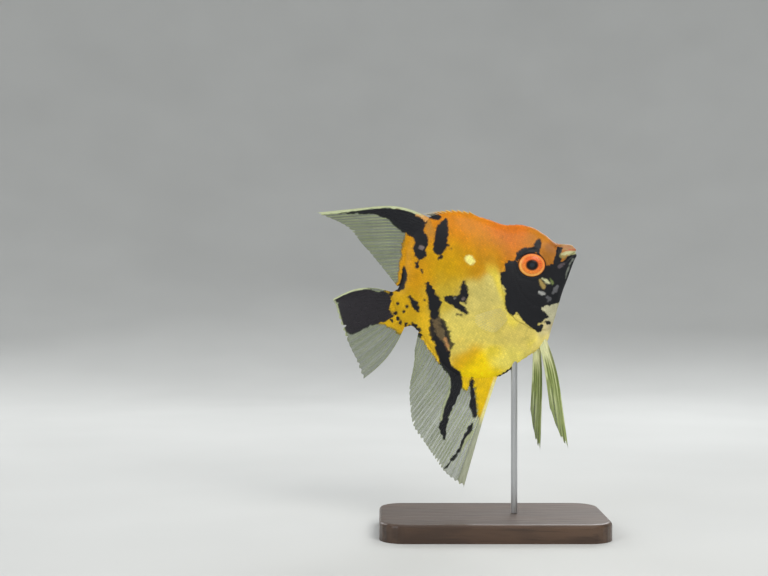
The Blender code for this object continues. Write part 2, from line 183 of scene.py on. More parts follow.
# %% Camera, floor and light
CAMERA = (-0.05364, -0.63565, 0.12083)
SENSOR_MM, LENS_MM, CLIP_START = 36.0, 60.0, 0.01
LAMPS = {  # place, size, watts, colour, aim
    "key": ((0.32, -0.66, 0.66), 0.50, 4.3, (1.0, 0.97, 0.93), (-0.01, 0, 0.10)),
    "fill": ((-0.62, -0.62, 0.50), 0.60, 2.4, (0.96, 0.98, 1.0), (-0.01, 0, 0.10)),
    "behind": ((0.30, 0.66, 0.62), 0.60, 3.6, (0.98, 0.99, 1.0), (-0.01, 0, 0.10)),
    "far side": ((-0.60, 0.62, 0.50), 0.60, 2.2, (1, 1, 1), (-0.01, 0, 0.10)),
    "ceiling": ((0.0, 0.0, 1.95), 2.6, 8.0, (1, 1, 1), (0, 0, 0)),
}
scene = bpy.context.scene


def new_object(name, data):
    made = bpy.data.objects.new(name, data)
    scene.collection.objects.link(made)
    return made


def mesh_object(name, points, faces=(), edges=()):
    """A new object at the origin from points in metres and the faces or edges that list them."""
    mesh = bpy.data.meshes.new(name)
    faces = [tuple(map(int, face)) for face in faces]
    mesh.from_pydata(np.asarray(points, float).tolist(), list(edges), faces)
    mesh.polygons.foreach_set("use_smooth", [True] * len(mesh.polygons))
    mesh.update()
    return new_object(name, mesh)


def lattice(first, second):
    """Every value of the first with every value of the second, as two grids."""
    return np.meshgrid(first, second, indexing="ij")


def grid_faces(rows, columns, wrap=False):
    """Faces of a grid whose points run along each row in turn; wrap joins each row's end to its start."""
    row, column = lattice(np.arange(rows - 1), np.arange(columns if wrap else columns - 1))
    here, after = row * columns + column, row * columns + (column + 1) % columns
    return np.stack([corner.ravel() for corner in (here, after, after + columns, here + columns)], axis=1)


def fan(pole, first, around, way=1):
    """Triangles from a pole to a ring of points that starts at first; way -1 turns them over."""
    ring = np.arange(around)
    return np.stack([ring * 0 + pole, *(first + ring, first + (ring + 1) % around)[::way]], axis=1)


def turns(around):
    """Evenly spaced turns of a full circle."""
    return np.arange(around) * 2 * math.pi / around


def spun(profile, around):
    """Rings of points: a profile of (radius, height) spun about the upright axis."""
    return [(r * math.cos(a), r * math.sin(a), z) for r, z in profile for a in turns(around)]


def sweep(radius=0.75, bend=1.1, height=2.0, around=96):
    """A round floor that bends up into a wall."""
    profile = [(r, 0) for r in np.linspace(0.02, radius, 16)[:-1]]
    quarter = np.linspace(-math.pi / 2, 0, 24)
    profile += [(radius + bend * math.cos(a), bend + bend * math.sin(a)) for a in quarter]
    profile += [(radius + bend, height)]
    points = [*spun(profile, around), (0, 0, 0)]
    faces = [*grid_faces(len(profile), around, wrap=True)[:, ::-1], *fan(len(points) - 1, 0, around)]
    return mesh_object("floor", points, faces)


camera = new_object("camera", bpy.data.cameras.new("camera"))
camera.data.sensor_width, camera.data.lens, camera.data.clip_start = SENSOR_MM, LENS_MM, CLIP_START
camera.location, camera.rotation_euler = CAMERA, (math.pi / 2, 0, 0)
scene.camera = camera
scene.view_settings.view_transform = "Standard"
for name, (place, size, watts, colour, aim) in LAMPS.items():
    lamp = new_object(name, bpy.data.lights.new(name, "AREA"))
    lamp.data.shape, lamp.data.size, lamp.data.energy, lamp.data.color = "DISK", size, watts, colour
    lamp.location = place
    lamp.rotation_euler = (Vector(aim) - Vector(place)).to_track_quat("-Z", "Y").to_euler()
    lamp.visible_camera = False
scene.world = bpy.data.worlds.new("studio")
scene.world.use_nodes = True
background = scene.world.node_tree.nodes["Background"].inputs
background["Color"].default_value, background["Strength"].default_value = (0.85, 0.86, 0.88, 1), 0.48
floor = sweep()
print("camera", round((Vector(CAMERA) - Vector(SNOUT)).length, 3), "m from the snout")

# %% [markdown]
# ## The markings
# This kind is gold and cream with black marbling. The same function colours the skin, the scales and the
# fins, so that they agree. Ground tints lie in soft pools that flow into each other.

# %% The ground tints
def tint(code):
    """A colour code as linear red, green and blue."""
    value = np.array([int(code[k : k + 2], 16) for k in (0, 2, 4)]) / 255
    return np.where(value < 0.04045, value / 12.92, ((value + 0.055) / 1.055) ** 2.4)


ZONES = thousandths({
    "lip": (35, 0, 30, 30, "B4AC7C"), "snout": (95, 78, 48, 40, "A26228"),
    "before the eye": (145, 20, 45, 40, "A46820"), "forehead": (180, 140, 70, 50, "C17A1A"),
    "nape": (330, 200, 100, 80, "D7700C"), "back": (540, 300, 130, 80, "D68302"),
    "shoulder": (480, 150, 110, 70, "C28801"), "upper flank": (680, 150, 120, 90, "CB9E04"),
    "rear flank": (840, 170, 80, 120, "CE9007"), "tail stalk": (950, 10, 80, 80, "CCA20F"),
    "mid flank": (720, 0, 70, 60, "CAB036"), "cream flank": (560, -90, 90, 80, "D1C26C"),
    "gill rim": (452, -60, 16, 100, "E1CB45"), "lower flank": (640, -230, 130, 80, "E3D165"),
    "breast": (440, -300, 100, 60, "DAC766"), "fore belly": (370, -390, 60, 40, "F3E078"),
    "belly": (510, -430, 70, 50, "F0E16A"), "keel gold": (655, -430, 70, 60, "FFDE02"),
    "gold flank": (715, -345, 45, 45, "DFAC01"), "rear belly": (870, -200, 50, 110, "E9BD20"),
    "gold scales": (557, -363, 34, 30, "F4DC34"), "gold under the cheek": (440, -245, 26, 22, "F0DC48"),
    "gold on the breast": (392, -372, 24, 22, "F2E054"), "throat": (225, -262, 45, 36, "C2BF9F"),
    "low throat": (262, -330, 30, 26, "C2B691"), "edge of the breast": (305, -362, 34, 28, "C9BE90"),
    "before the dorsal fin": (694, 351, 24, 45, "BB8637"),
})  # back, height, reach along, reach upright, tint


CELLS = 64


def noise(x, y, size, seed):
    """Smooth random hills of the given size, from 0 to 1, the same on every run."""
    table = np.random.default_rng(seed).random((CELLS, CELLS))
    u, v = np.asarray(x) / size, np.asarray(y) / size
    i, j = np.floor(u).astype(int), np.floor(v).astype(int)
    p, q = smooth(u - i), smooth(v - j)
    i, j, after, above = i % CELLS, j % CELLS, (i + 1) % CELLS, (j + 1) % CELLS
    return mix(mix(table[i, j], table[after, j], p), mix(table[i, above], table[after, above], p), q)


def wobble(x, y, size, seed, amount):
    """The same hills, up and down by half the amount."""
    return amount * (noise(x, y, size, seed) - 0.5)


def ground(back, height):
    """The ground colour: a soft mix of the zones, weighed by how near they are."""
    total, weight = np.zeros((*back.shape, 3)), np.full(back.shape, 1e-9)
    for at_back, at_height, reach_along, reach_upright, code in ZONES.values():
        away = ((back - at_back) / reach_along) ** 2 + ((height - at_height) / reach_upright) ** 2
        near = np.exp(-0.9 * away) + 1e-4 / (1 + away)
        total += near[..., None] * tint(code)
        weight += near
    return total / weight[..., None]


print(len(ZONES), "zones of ground tint")

# %% [markdown]
# Black marks are strokes: chains of spots, each with a half width, whose edges a little noise makes ragged,
# as pigment that follows scales is. Every stroke is measured in the same way: how far a point is from a
# line, less the line's own half width there. The gill cover, the mouth and the folds of the cheek use the
# same measure later, to raise or sink the skin.

# %% The black strokes
def from_line(spots, back, height):
    """Distance from a line of (back, height[, half width]) spots, share along it, and side (+ is behind)."""
    best, along, behind = np.full(back.shape, np.inf), np.zeros(back.shape), np.ones(back.shape)
    for number, (start, end) in enumerate(zip(spots, spots[1:])):
        run, rise = end[0] - start[0], end[1] - start[1]
        part = np.clip(((back - start[0]) * run + (height - start[1]) * rise) / (run**2 + rise**2), 0, 1)
        gap = np.hypot(back - start[0] - part * run, height - start[1] - part * rise)
        if len(start) > 2:
            gap = gap - mix(start[2], end[2], part)
        nearer = gap < best
        best = np.where(nearer, gap, best)
        along = np.where(nearer, (number + part) / (len(spots) - 1), along)
        behind = np.where(nearer, np.sign(run * (height - start[1]) - rise * (back - start[0])), behind)
    return best, along, behind


def from_lines(lines, back, height):
    """Distance from the nearest of several lines."""
    return np.min([from_line(spots, back, height)[0] for spots in lines], axis=0)


def from_patch(outline, back, height):
    """Distance from the edge of a closed patch, less than 0 inside it."""
    inside = np.zeros(back.shape, bool)
    for (b0, h0), (b1, h1) in zip(outline, outline[1:] + outline[:1]):
        crosses = (h0 > height) != (h1 > height)
        inside ^= crosses & (back < b0 + (height - h0) * (b1 - b0) / ((h1 - h0) or 1e-9))
    edge = from_line([*outline, outline[0]], back, height)[0]
    return np.where(inside, -edge, edge)


def painted(gap, rag, soft=0.003):
    """1 inside a mark and 0 outside, from the distance to its edge, which rag makes uneven."""
    return smooth(-gap - rag, -soft, soft)


MASK = thousandths([
    (319, 43), (344, 57), (370, 62), (390, 38), (399, 17), (421, 20), (427, -5), (435, -40), (425, -66),
    (425, -87), (439, -116), (452, -145), (445, -169), (431, -213), (412, -202), (400, -200), (390, -236),
    (370, -276), (356, -303), (341, -307), (329, -295), (313, -289), (290, -285), (253, -281), (269, -254),
    (276, -240), (273, -216), (247, -219), (215, -222), (182, -224), (135, -215), (100, -180), (50, -120),
    (10, -70), (0, -18), (50, -14), (85, -30), (109, -31), (185, -28), (215, -10), (250, -30), (300, -20),
    (322, 10),
])
BODY_STROKES = thousandths({
    "brow": [(318, 51, 6), (299, 76, 12), (269, 82, 15), (243, 80, 16), (217, 76, 17), (197, 86, 17),
        (181, 102, 11), (174, 112, 4)],
    "brow, low": [(203, 68, 12), (202, 42, 6)],
    "behind the lip": [(133, -34, 14), (111, -4, 15), (100, 21, 14), (86, 38, 12), (68, 42, 6)],
    "throat": [(341, -305, 7), (321, -322, 14), (310, -317, 10)],
    "under the dorsal fin": [(713, 394, 13), (752, 381, 39), (764, 351, 29), (755, 308, 31), (760, 285, 28),
        (782, 267, 31), (782, 237, 25), (791, 217, 8)],
    "shoulder bar": [(604, 361, 8), (621, 346, 20), (633, 326, 27), (644, 302, 32), (656, 276, 31),
        (669, 253, 35), (685, 234, 27), (692, 214, 11)],
    "fleck 1": [(815, 199, 7), (819, 178, 7)],
    "fleck 2": [(803, 154, 6), (802, 144, 5)],
    "long bar": [(797, 81, 6), (794, 46, 18), (791, 2, 25), (793, -33, 31), (801, -61, 26), (810, -88, 22)],
    "long bar, low": [(843, -195, 10), (837, -223, 14), (833, -253, 25), (825, -292, 32), (832, -326, 25),
        (836, -362, 24), (822, -396, 22), (805, -424, 30)],
    "fork": [(616, 28, 8), (623, -3, 17), (636, -30, 20), (647, -54, 17), (640, -70, 8)],
    "fork, rear": [(723, -29, 14), (709, -35, 21), (686, -45, 22), (659, -40, 17)],
    "fork, low": [(698, -48, 17), (682, -77, 15), (665, -101, 13), (653, -128, 6)],
    "tail fleck": [(907, 41, 6), (896, 21, 10), (890, 1, 17), (888, -20, 14), (887, -38, 7)],
    "hind rim": [(885, 193, 6), (894, 164, 10), (907, 135, 11), (927, 108, 12), (952, 97, 8)],
    "back rim": [(716, 444, 5), (690, 423, 7), (660, 402, 12), (633, 392, 12)],
    "belly rim": [(595, -500, 8), (562, -496, 9), (520, -484, 7), (480, -470, 3)],
    "keel spot": [(746, -470, 8), (734, -477, 15)],
})
THROAT_SPOT = thousandths([(274, -297, 4), (263, -304, 8), (256, -310, 5)])  # on the right side only
FLECKS = thousandths([
    (994, 86, 10), (1014, 59, 8), (1001, -18, 8), (997, -45, 8), (993, -73, 8), (1031, -45, 8), (968, -87, 7),
    (953, -103, 8), (934, -98, 7), (922, -113, 9), (916, -134, 10), (920, -165, 9), (835, 1, 4), (934, 1, 5),
    (957, -19, 4), (975, 30, 5), (630, 237, 6), (622, 216, 4), (685, 191, 5), (696, 185, 4), (700, -118, 4),
    (680, -128, 4),
])  # back, height, radius
BROWN_BAR = thousandths([(809, -96, 21), (815, -150, 36), (816, -190, 39), (812, -222, 34)])
BROWN_RIMS = thousandths([
    [(836, -112, 5), (848, -149, 9), (849, -176, 11), (845, -205, 10)],
    [(788, -122, 10), (781, -159, 9), (778, -193, 10), (781, -225, 9), (781, -258, 14), (788, -277, 7)],
])
# Small marks; the pale grey line along the lower jaw among them is a painted highlight.
SMALL_MARKS = thousandths([
    ("F6F08E", 950, [(553, 133, 20), (549, 120, 20)]),
    ("9A8A88", 600, [(770, 267, 9), (764, 264, 7)]),
    ("8A7C78", 700, [(648, -52, 6), (644, -50, 5)]),
    ("8C8C80", 600, [(685, -35, 5), (683, -33, 4)]),
    ("E8A868", 600, [(797, -222, 6), (795, -262, 7), (800, -285, 4)]),
    ("D4D4A4", 900, [(224, -77, 4), (207, -96, 7), (196, -110, 6)]),
    ("B49A58", 850, [(238, -82, 5), (233, -106, 10), (229, -123, 9)]),
    ("B0B0AC", 850, [(259, -141, 4), (247, -152, 6), (238, -159, 4)]),
    ("6C6C70", 800, [(191, -166, 7), (178, -162, 10), (161, -143, 6)]),
    ("66666A", 800, [(228, -179, 7), (222, -189, 9), (230, -200, 4)]),
    ("8A9A5A", 600, [(184, -94, 4), (178, -118, 4)]),
    ("5E5458", 800, [(117, -47, 8), (96, -43, 8)]),
    # painted highlight: light catching the ridge of the lower jaw
    ("8E9488", 600, [(38, -34, 2), (62, -56, 4), (86, -86, 4), (104, -116, 2)]),
    ("B07850", 850, [(66, 44, 8), (38, 34, 12), (14, 18, 8)]),
    ("8E8450", 750, [(88, 4, 13), (78, -8, 10)]),
    ("B8BA8A", 850, [(86, 10, 6), (60, 6, 10), (34, 1, 10), (4, -2, 8)]),
    ("B05030", 800, [(66, 24, 2), (39, 16, 3), (5, 7, 3)]),
])  # tint, strength, line
# The last of these tints is painted shade: the dark ring where the skin sinks into the socket round the eye.
BLACK, BROWN, SOCKET_SHADE = tint("1D1E22"), tint("55483F"), tint("3A2016")
print(len(BODY_STROKES), "black strokes,", len(FLECKS), "flecks and", len(SMALL_MARKS), "small marks")

# %% [markdown]
# The two sides of a marbled fish are never quite the same. The left side gets the same strokes, pushed about
# by slow noise, so that it is the same fish and yet not a mirror image.

# %% Colour of the skin
EYE = (0.255, 0.004)
EYE_LONG, EYE_SHORT, EYE_DEPTH, EYE_OUT = 0.0745, 0.0645, 0.0295, 0.055
SOCKET_SHARE = 0.925
RAGGED, SOFT = 0.010, 0.0022  # how uneven, and how soft, the edge of a black mark is


def from_eye(back, height):
    """Distance from the middle of the eye, 1 at its widest rim; its long axis is level on the stand."""
    run, rise = back - EYE[0], height - EYE[1]
    return np.hypot((run * COS + rise * SIN) / EYE_LONG, (rise * COS - run * SIN) / EYE_SHORT)


def markings(back, height, side):
    """Linear colour and blackness at places on the fish; side is -1 on its right and 1 on its left."""
    back, height, side = (np.asarray(values, float) for values in (back, height, side))
    pushed = (side > 0) * smooth(back, 0.30, 0.50)
    b = back + pushed * (wobble(back, height, 0.16, 5, 0.06) + 0.014)
    h = height + pushed * wobble(back, height, 0.15, 6, 0.08)
    rag = wobble(back, height, 0.012, 7, RAGGED) + wobble(back, height, 0.03, 8, 0.6 * RAGGED) - 0.003
    pools = [place + wobble(back, height, 0.06, seed, 0.06) for place, seed in ((back, 10), (height, 11))]
    colour = ground(*pools) * (0.90 + 0.2 * noise(back, height, 0.035, 9))[..., None]
    flecks = np.min([np.hypot(b - spot[0], h - spot[1]) - spot[2] for spot in FLECKS], axis=0)
    dark = np.max([
        painted(from_lines(BROWN_RIMS, b, h), 1.6 * rag, SOFT) * 0.9,
        painted(from_lines(BODY_STROKES.values(), b, h), rag, SOFT),
        painted(from_patch(MASK, b, h), 1.2 * rag, SOFT),
        painted(from_line(THROAT_SPOT, b, h)[0], rag, SOFT) * (side < 0),
        painted(flecks, rag, SOFT),
    ], axis=0)
    brown = painted(from_line(BROWN_BAR, b, h)[0], rag, 0.004) * 0.92
    # painted shade on the skin where it sinks into the socket round the eye
    socket_shade = smooth(-from_eye(back, height), -1.03, -0.96) * 0.85
    for tone, share in ((BROWN, brown), (SOCKET_SHADE, socket_shade), (BLACK, dark)):
        colour = mix(colour, tone, share[..., None])
    for code, strength, spots in SMALL_MARKS:
        share = strength * smooth(-from_line(spots, b, h)[0] - 0.7 * rag, -0.003, 0.005)
        colour, dark = mix(colour, tint(code), share[..., None]), dark * (1 - share)
    return colour, dark


sample = markings(np.array([0.30, 0.55]), np.array([-0.15, -0.10]), -1)[0]
print("mask", sample[0].round(3), "flank", sample[1].round(3))

# %% [markdown]
# ## The skin
# The flesh of the solid model is parted into head, jaws, gill covers and trunk. The real fish has one skin,
# so one loft replaces them all, a little smaller, to leave room for the scales. The gill cover, mouth,
# nostrils, eye sockets and cheek folds are raised or sunk along the skin's own normals.

# %% The form of the head
PIT = 0.0037  # the skin lies this far inside the solid model, a share of the length
MOUTH = thousandths([(0, -4), (30, -10), (60, -18), (88, -34)])
JAW_FOLD = thousandths([(60, 56), (88, 42), (104, 20), (110, -10), (104, -40), (92, -58)])
GILL_EDGE = thousandths([
    (350, 75), (371, 60), (413, 30), (438, -45), (447, -124), (446, -190), (419, -243), (358, -307),
    (286, -341), (240, -330),
])
CHEEK_FOLD = thousandths([(350, 40), (356, -30), (350, -110), (318, -185), (255, -235), (165, -225)])
FORE_CHEEK_FOLD = thousandths([(330, -60), (300, -130), (240, -170), (160, -165)])
LOWER_FOLD = thousandths([(340, -255), (290, -275), (220, -265), (170, -235)])
FOLDS = [  # line, shift to the tail, depth, width, share of the line over which each end fades
    (JAW_FOLD, 0, 0.0034, 0.0058, 0.10), (CHEEK_FOLD, 0, 0.0022, 0.0060, 0.15),
    (CHEEK_FOLD, 0.012, -0.0012, 0.0090, 0.15), (FORE_CHEEK_FOLD, 0, 0.0012, 0.0070, 0.15),
    (LOWER_FOLD, 0, 0.0016, 0.0065, 0.15),
]
NOSTRIL = (0.103, 0.056)
GILL_STEP, GILL_SLIT, MOUTH_DEPTH = 0.0030, 0.0016, 0.0085
LIP_RISE, NOSTRIL_DEPTH, SOCKET_DEPTH = 0.0030, 0.0095, 0.030


def relief(back, height):
    """How far the skin stands out of, or sinks into, the smooth body, in shares of the length."""
    gap, along, behind = from_line(GILL_EDGE, back, height)
    step = GILL_STEP * np.where(behind > 0, -bell(gap, 0.013), smooth(1 - gap / 0.07))
    out = (step - GILL_SLIT * bell(gap, 0.0035)) * smooth(along, 0.02, 0.16) * smooth(1 - along, 0.0, 0.12)

    gap, along, _ = from_line(MOUTH, back, height)
    out = out - MOUTH_DEPTH * bell(gap, 0.0052) * smooth(1 - along, 0.0, 0.10)
    out = out + LIP_RISE * bell(gap - 0.0155, 0.0085) * smooth(back, 0.100, 0.060)
    for spots, shift, depth, width, fade in FOLDS:
        gap, along, _ = from_line(spots, back - shift, height)
        out = out - depth * bell(gap, width) * smooth(along, 0, fade) * smooth(1 - along, 0, fade)

    gap = np.hypot(back - NOSTRIL[0], height - NOSTRIL[1])
    out = out - NOSTRIL_DEPTH * bell(gap, 0.0048) + 0.0018 * bell(gap - 0.0095, 0.0034)

    ring = from_eye(back, height) - SOCKET_SHARE
    out = out - SOCKET_DEPTH * smooth(-ring, -0.03, 0.10)
    return out + 0.0020 * bell(ring - 0.12, 0.07) - 0.0016 * bell(ring - 0.33, 0.10)


print("eye", round(2 * EYE_LONG * LENGTH * 1000, 1), "mm long")

# %% [markdown]
# The skin is a loft of rings. They lie closest together on the head, where the detail is, and it closes at
# a pole on the snout and another inside the tail. It is also laid out flat, one side next to the other, for
# its map.

# %% The skin itself
HEAD_END, HEAD_RINGS, TRUNK_RINGS, SIDE_STEPS = 0.46, 222, 92, 142
UPRIGHT = 0.35  # 0 spaces the points evenly in height, 1 evenly in turn
SNOUT_ROUND = 0.014  # how far behind the first ring the snout is rounded
STALK_ROUND, STALK_REACH = 0.955, 0.042  # where the end of the tail stalk starts to round off, and how far


def section(back, turn):
    """Height and half width of the skin at a turn from -90 degrees, the belly, to 90, the back."""
    edge = np.where(turn > 0, back_line(back) - PIT, belly_line(back) + PIT)
    middle = widest_height(back)
    width = (half_width(back) - PIT) * np.clip(np.cos(turn), 0, 1) ** keel_sharpness(back)
    return middle + (edge - middle) * np.abs(np.sin(turn)), width


def stalk_end(back):
    """Rounds the body off inside the root of the tail."""
    return np.sqrt(1 - np.clip((back - STALK_ROUND) / STALK_REACH, 0, 0.999) ** 2)


def build_skin():
    """The skin before its relief, with back, height and side of every point."""
    head = np.linspace(PIT, HEAD_END, HEAD_RINGS)[:-1]
    back = np.concatenate([head, np.linspace(HEAD_END, 1 - PIT, TRUNK_RINGS)])
    share = np.linspace(-1, 1, SIDE_STEPS + 1)
    turn = mix(np.arcsin(share), share * math.pi / 2, UPRIGHT)
    turn = np.concatenate([turn, turn[-2:0:-1]])
    side = np.concatenate([-np.ones(SIDE_STEPS + 1), np.ones(SIDE_STEPS - 1)])
    back, turn = lattice(back, turn)
    height, width = section(back, turn)
    snout = np.sqrt(1 - np.clip(1 - (back - PIT) / SNOUT_ROUND, 0, 1) ** 2) * 0.96 + 0.04
    height = mix(widest_height(back), height, snout)
    points = placed(back, height, width * snout * stalk_end(back) * side)
    poles = placed(np.array([PIT, 1 - PIT]), np.zeros(2), np.zeros(2))
    rows, columns = back.shape
    count = rows * columns
    faces = [*grid_faces(rows, columns, wrap=True), *fan(count, 0, columns, -1),
             *fan(count + 1, count - columns, columns)]
    side = np.append(np.broadcast_to(side, back.shape), [-1, -1])
    made = mesh_object("skin", np.concatenate([points, poles]), faces)
    return made, np.append(back, [PIT, 1 - PIT]), np.append(height, [0, 0]), side


def read(mesh_part, name, size=1):
    """One number or vector of every item of a mesh, as an array."""
    values = np.empty(len(mesh_part) * size)
    mesh_part.foreach_get(name, values)
    return values.reshape(-1, size) if size > 1 else values


def store(obj, name, values):
    """Keeps numbers, vectors or, as its tint, colours on the points of an object."""
    values = np.asarray(values, float)
    kind, field = ("FLOAT", "value") if values.ndim == 1 else ("FLOAT_VECTOR", "vector")
    if name == "tint":
        kind, field = "FLOAT_COLOR", "color"
        values = np.concatenate([values, np.ones((len(values), 1))], axis=1)
    obj.data.attributes.new(name, kind, "POINT").data.foreach_set(field, values.ravel())


def unwrapped(back, height, side):
    """Places on the skin laid out flat, with the fish's right side in the left half of the sheet."""
    u = 0.015 + 0.47 * np.clip(back, 0, 1) + 0.5 * (np.asarray(side) > 0)
    return np.stack([u, 0.02 + (height + 0.51) * 1.02, u * 0], axis=-1)


skin, back, height, side = build_skin()
lift = relief(back, height) * LENGTH
out = read(skin.data.vertices, "co", 3) + read(skin.data.vertex_normals, "vector", 3) * lift[:, None]
skin.data.vertices.foreach_set("co", out.ravel())
skin.data.update()
store(skin, "tint", markings(back, height, side)[0])
corner = read(skin.data.loops, "vertex_index").astype(int)
face = np.repeat(np.arange(len(skin.data.polygons)), read(skin.data.polygons, "loop_total").astype(int))
flat = unwrapped(back[corner], height[corner], read(skin.data.polygons, "center", 3)[face, 1])
skin.data.uv_layers.new(name="OFBake").uv.foreach_set("vector", flat[:, :2].ravel())
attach(skin, "root")
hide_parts(*FLESH)
print("skin of", len(skin.data.polygons), "faces, sunk up to", round(-lift.min() * 1000, 2), "mm")

# %% [markdown]
# ## Finishes
# Each finish is a small tree of nodes round one Principled shader. A helper makes the tree and joins the
# nodes, so that each finish reads as what it is: where its colour comes from, how rough it is, and what its
# bumps are.

# %% A helper for finishes
def live(sockets, name):
    """The socket of that name which the node's settings switch on."""
    return next(socket for socket in sockets if socket.enabled and socket.name == name)


class Nodes:
    """A tree of nodes under construction."""

    def feed(self, socket, value):
        if isinstance(value, bpy.types.NodeSocket):
            self.links.new(value, socket)
        else:
            socket.default_value = value

    def node(self, kind, *first, settings=(), **named):
        """A new node, of the shader's kinds unless it says more; sockets are fed in order, or by name."""
        made = self.nodes.new(kind if "Node" in kind else "ShaderNode" + kind)
        for name, value in dict(settings).items():
            setattr(made, name, value)
        for socket, value in zip(made.inputs, first):
            self.feed(socket, value)
        for name, value in named.items():
            self.feed(made.inputs[name.replace("_", " ")], value)
        return made

    def math(self, how, a, b=0.0):
        return self.node("Math", a, b, settings={"operation": how}).outputs[0]


class Finish(Nodes):
    """A material under construction: add nodes by kind, join their sockets, and end in the shader."""

    def __init__(self, name, **constants):
        self.material = bpy.data.materials.new(name)
        self.material.use_nodes = True
        self.nodes, self.links = self.material.node_tree.nodes, self.material.node_tree.links
        self.end(**constants)

    def end(self, **sockets):
        for name, value in sockets.items():
            self.feed(self.nodes["Principled BSDF"].inputs[name.replace("_", " ")], value)
        return self.material

    def attribute(self, name, output="Fac"):
        return self.node("Attribute", settings={"attribute_name": name}).outputs[output]

    def place(self, stretch=(1, 1, 1)):
        spot = self.node("TexCoord").outputs["Object"]
        return self.node("Mapping", Vector=spot, Scale=stretch).outputs["Vector"]

    def grain(self, scale, detail, rough=0.5, stretch=(1, 1, 1)):
        made = self.node("TexNoise", Vector=self.place(stretch), Scale=scale, Detail=detail, Roughness=rough)
        return made.outputs["Fac"]

    def waves(self, along, **inputs):
        settings = {"wave_type": "BANDS", "bands_direction": along}
        return self.node("TexWave", settings=settings, **inputs).outputs["Fac"]

    def span(self, value, low, high, to_low, to_high):
        return self.node("MapRange", value, low, high, to_low, to_high).outputs[0]

    def spread(self, value, to_low, to_high):
        """Spreads the middle of a noise, where nearly all of it lies, over a range."""
        return self.span(value, 0.3, 0.7, to_low, to_high)

    def blend(self, how, share, a, b):
        made = self.node("Mix", share, settings={"data_type": "RGBA", "blend_type": how})
        self.feed(live(made.inputs, "A"), a)
        self.feed(live(made.inputs, "B"), b)
        return live(made.outputs, "Result")

    def tinted(self, shade):
        """The tint kept on the points, a little lighter and darker."""
        return self.blend("MULTIPLY", 1.0, self.attribute("tint", "Color"), shade)

    def bump(self, height, strength, distance, **under):
        made = self.node("Bump", Height=height, Strength=strength, Distance=distance, **under)
        return made.outputs["Normal"]


WET = {"Coat_Weight": 0.05, "Coat_Roughness": 0.16, "Specular_IOR_Level": 0.15}
print("helper for finishes ready")

# %% [markdown]
# Fish skin is wet and clear on top with colour underneath, so it has a thin clear coat over a satin base.
# Very fine pores break up the highlight, and slow stains keep the tint from looking painted.

# %% The skin finish
def skin_finish():
    made = Finish("skin", **WET)
    stain, fine = made.spread(made.grain(260, 5), 0.90, 1.10), made.spread(made.grain(2600, 2), 0.93, 1.07)
    pores = made.node("TexVoronoi", Vector=made.place(), Scale=2200).outputs["Distance"]
    pores = made.bump(pores, 0.25, 0.00006)
    return made.end(Base_Color=made.tinted(made.math("MULTIPLY", stain, fine)),
                    Roughness=made.spread(made.grain(900, 3), 0.38, 0.54),
                    Normal=made.bump(made.grain(700, 4), 0.30, 0.00012, Normal=pores))


skin.data.materials.append(skin_finish())
print("skin finish of", len(skin.data.materials[0].node_tree.nodes), "nodes")

# %% [markdown]
# ## The scales
# An angelfish has small rough scales in slanting rows, each tucked under the one in front. One scale is a
# thin closed blade, domed like a lens, with its rim sharp. It carries a small flat patch of its own for the
# map.

# %% One scale
PATCH = 0.003  # width of a scale on the flat map


def scale_blade(around=10):
    """A closed lens one unit across, that knows how near its rim each point is, with its own flat patch."""
    points = np.array([*spun([(0.5, 0.0), (0.32, 0.014)], around), (0, 0, 0.018), (0, 0, -0.020)])
    faces = []
    for k in range(around):
        after = (k + 1) % around
        faces += [(k, after, around + after, around + k), (around + k, around + after, 2 * around),
                  (after, k, 2 * around + 1)]
    made = mesh_object("one_scale", points, faces)
    made.data.edges.foreach_set("use_edge_sharp", [max(edge.vertices) < around for edge in made.data.edges])
    store(made, "rim", [1.0] * around + [0.45] * around + [0.0, 0.0])
    store(made, "patch", points * (PATCH, PATCH, 0))
    return made


# %% [markdown]
# Geometry Nodes put a blade on every root, turned along the lie and tipped so that its hind edge stands
# clear. No two scales have quite the same size.

# %% The tree that lays the scales
class Tree(Nodes):
    """A Geometry Nodes tree under construction; each knob is a kind of socket, or a number to start from."""

    def __init__(self, name, **knobs):
        self.group = bpy.data.node_groups.new(name, "GeometryNodeTree")
        self.nodes, self.links = self.group.nodes, self.group.links
        new_socket = self.group.interface.new_socket
        for way in ("INPUT", "OUTPUT"):
            new_socket("Geometry", in_out=way, socket_type="NodeSocketGeometry")
        self.sockets = {}
        for knob, value in knobs.items():
            kind = value if isinstance(value, str) else type(value).__name__.capitalize()
            socket = new_socket(knob, in_out="INPUT", socket_type="NodeSocket" + kind)
            if kind != value:
                socket.default_value = value
            self.sockets[knob] = socket.identifier
        self.source = self.nodes.new("NodeGroupInput").outputs

    def named(self, name, kind="FLOAT_VECTOR"):
        made = self.node("GeometryNodeInputNamedAttribute", settings={"data_type": kind}, Name=name)
        return live(made.outputs, "Attribute")

    def vector(self, how, *first, **named):
        return self.node("VectorMath", *first, settings={"operation": how}, **named).outputs[0]

    def finish(self, geometry):
        real = self.node("GeometryNodeRealizeInstances", geometry).outputs[0]
        look = self.node("GeometryNodeSetMaterial", Geometry=real, Material=self.source["Finish"]).outputs[0]
        self.node("NodeGroupOutput", look)
        return self


def grown(tree, obj, **values):
    """Runs a tree on an object and leaves the plain mesh that it makes."""
    step = obj.modifiers.new("grow", "NODES")
    step.node_group = tree.group
    for name, value in values.items():
        step[tree.sockets[name]] = value
    mesh = bpy.data.meshes.new_from_object(obj.evaluated_get(bpy.context.evaluated_depsgraph_get()))
    obj.modifiers.clear()
    old, obj.data = obj.data, mesh
    mesh.name = obj.name
    bpy.data.meshes.remove(old)
    for spare in ("lie", "size", "root", "patch", "girth"):
        if spare in mesh.attributes:
            mesh.attributes.remove(mesh.attributes[spare])


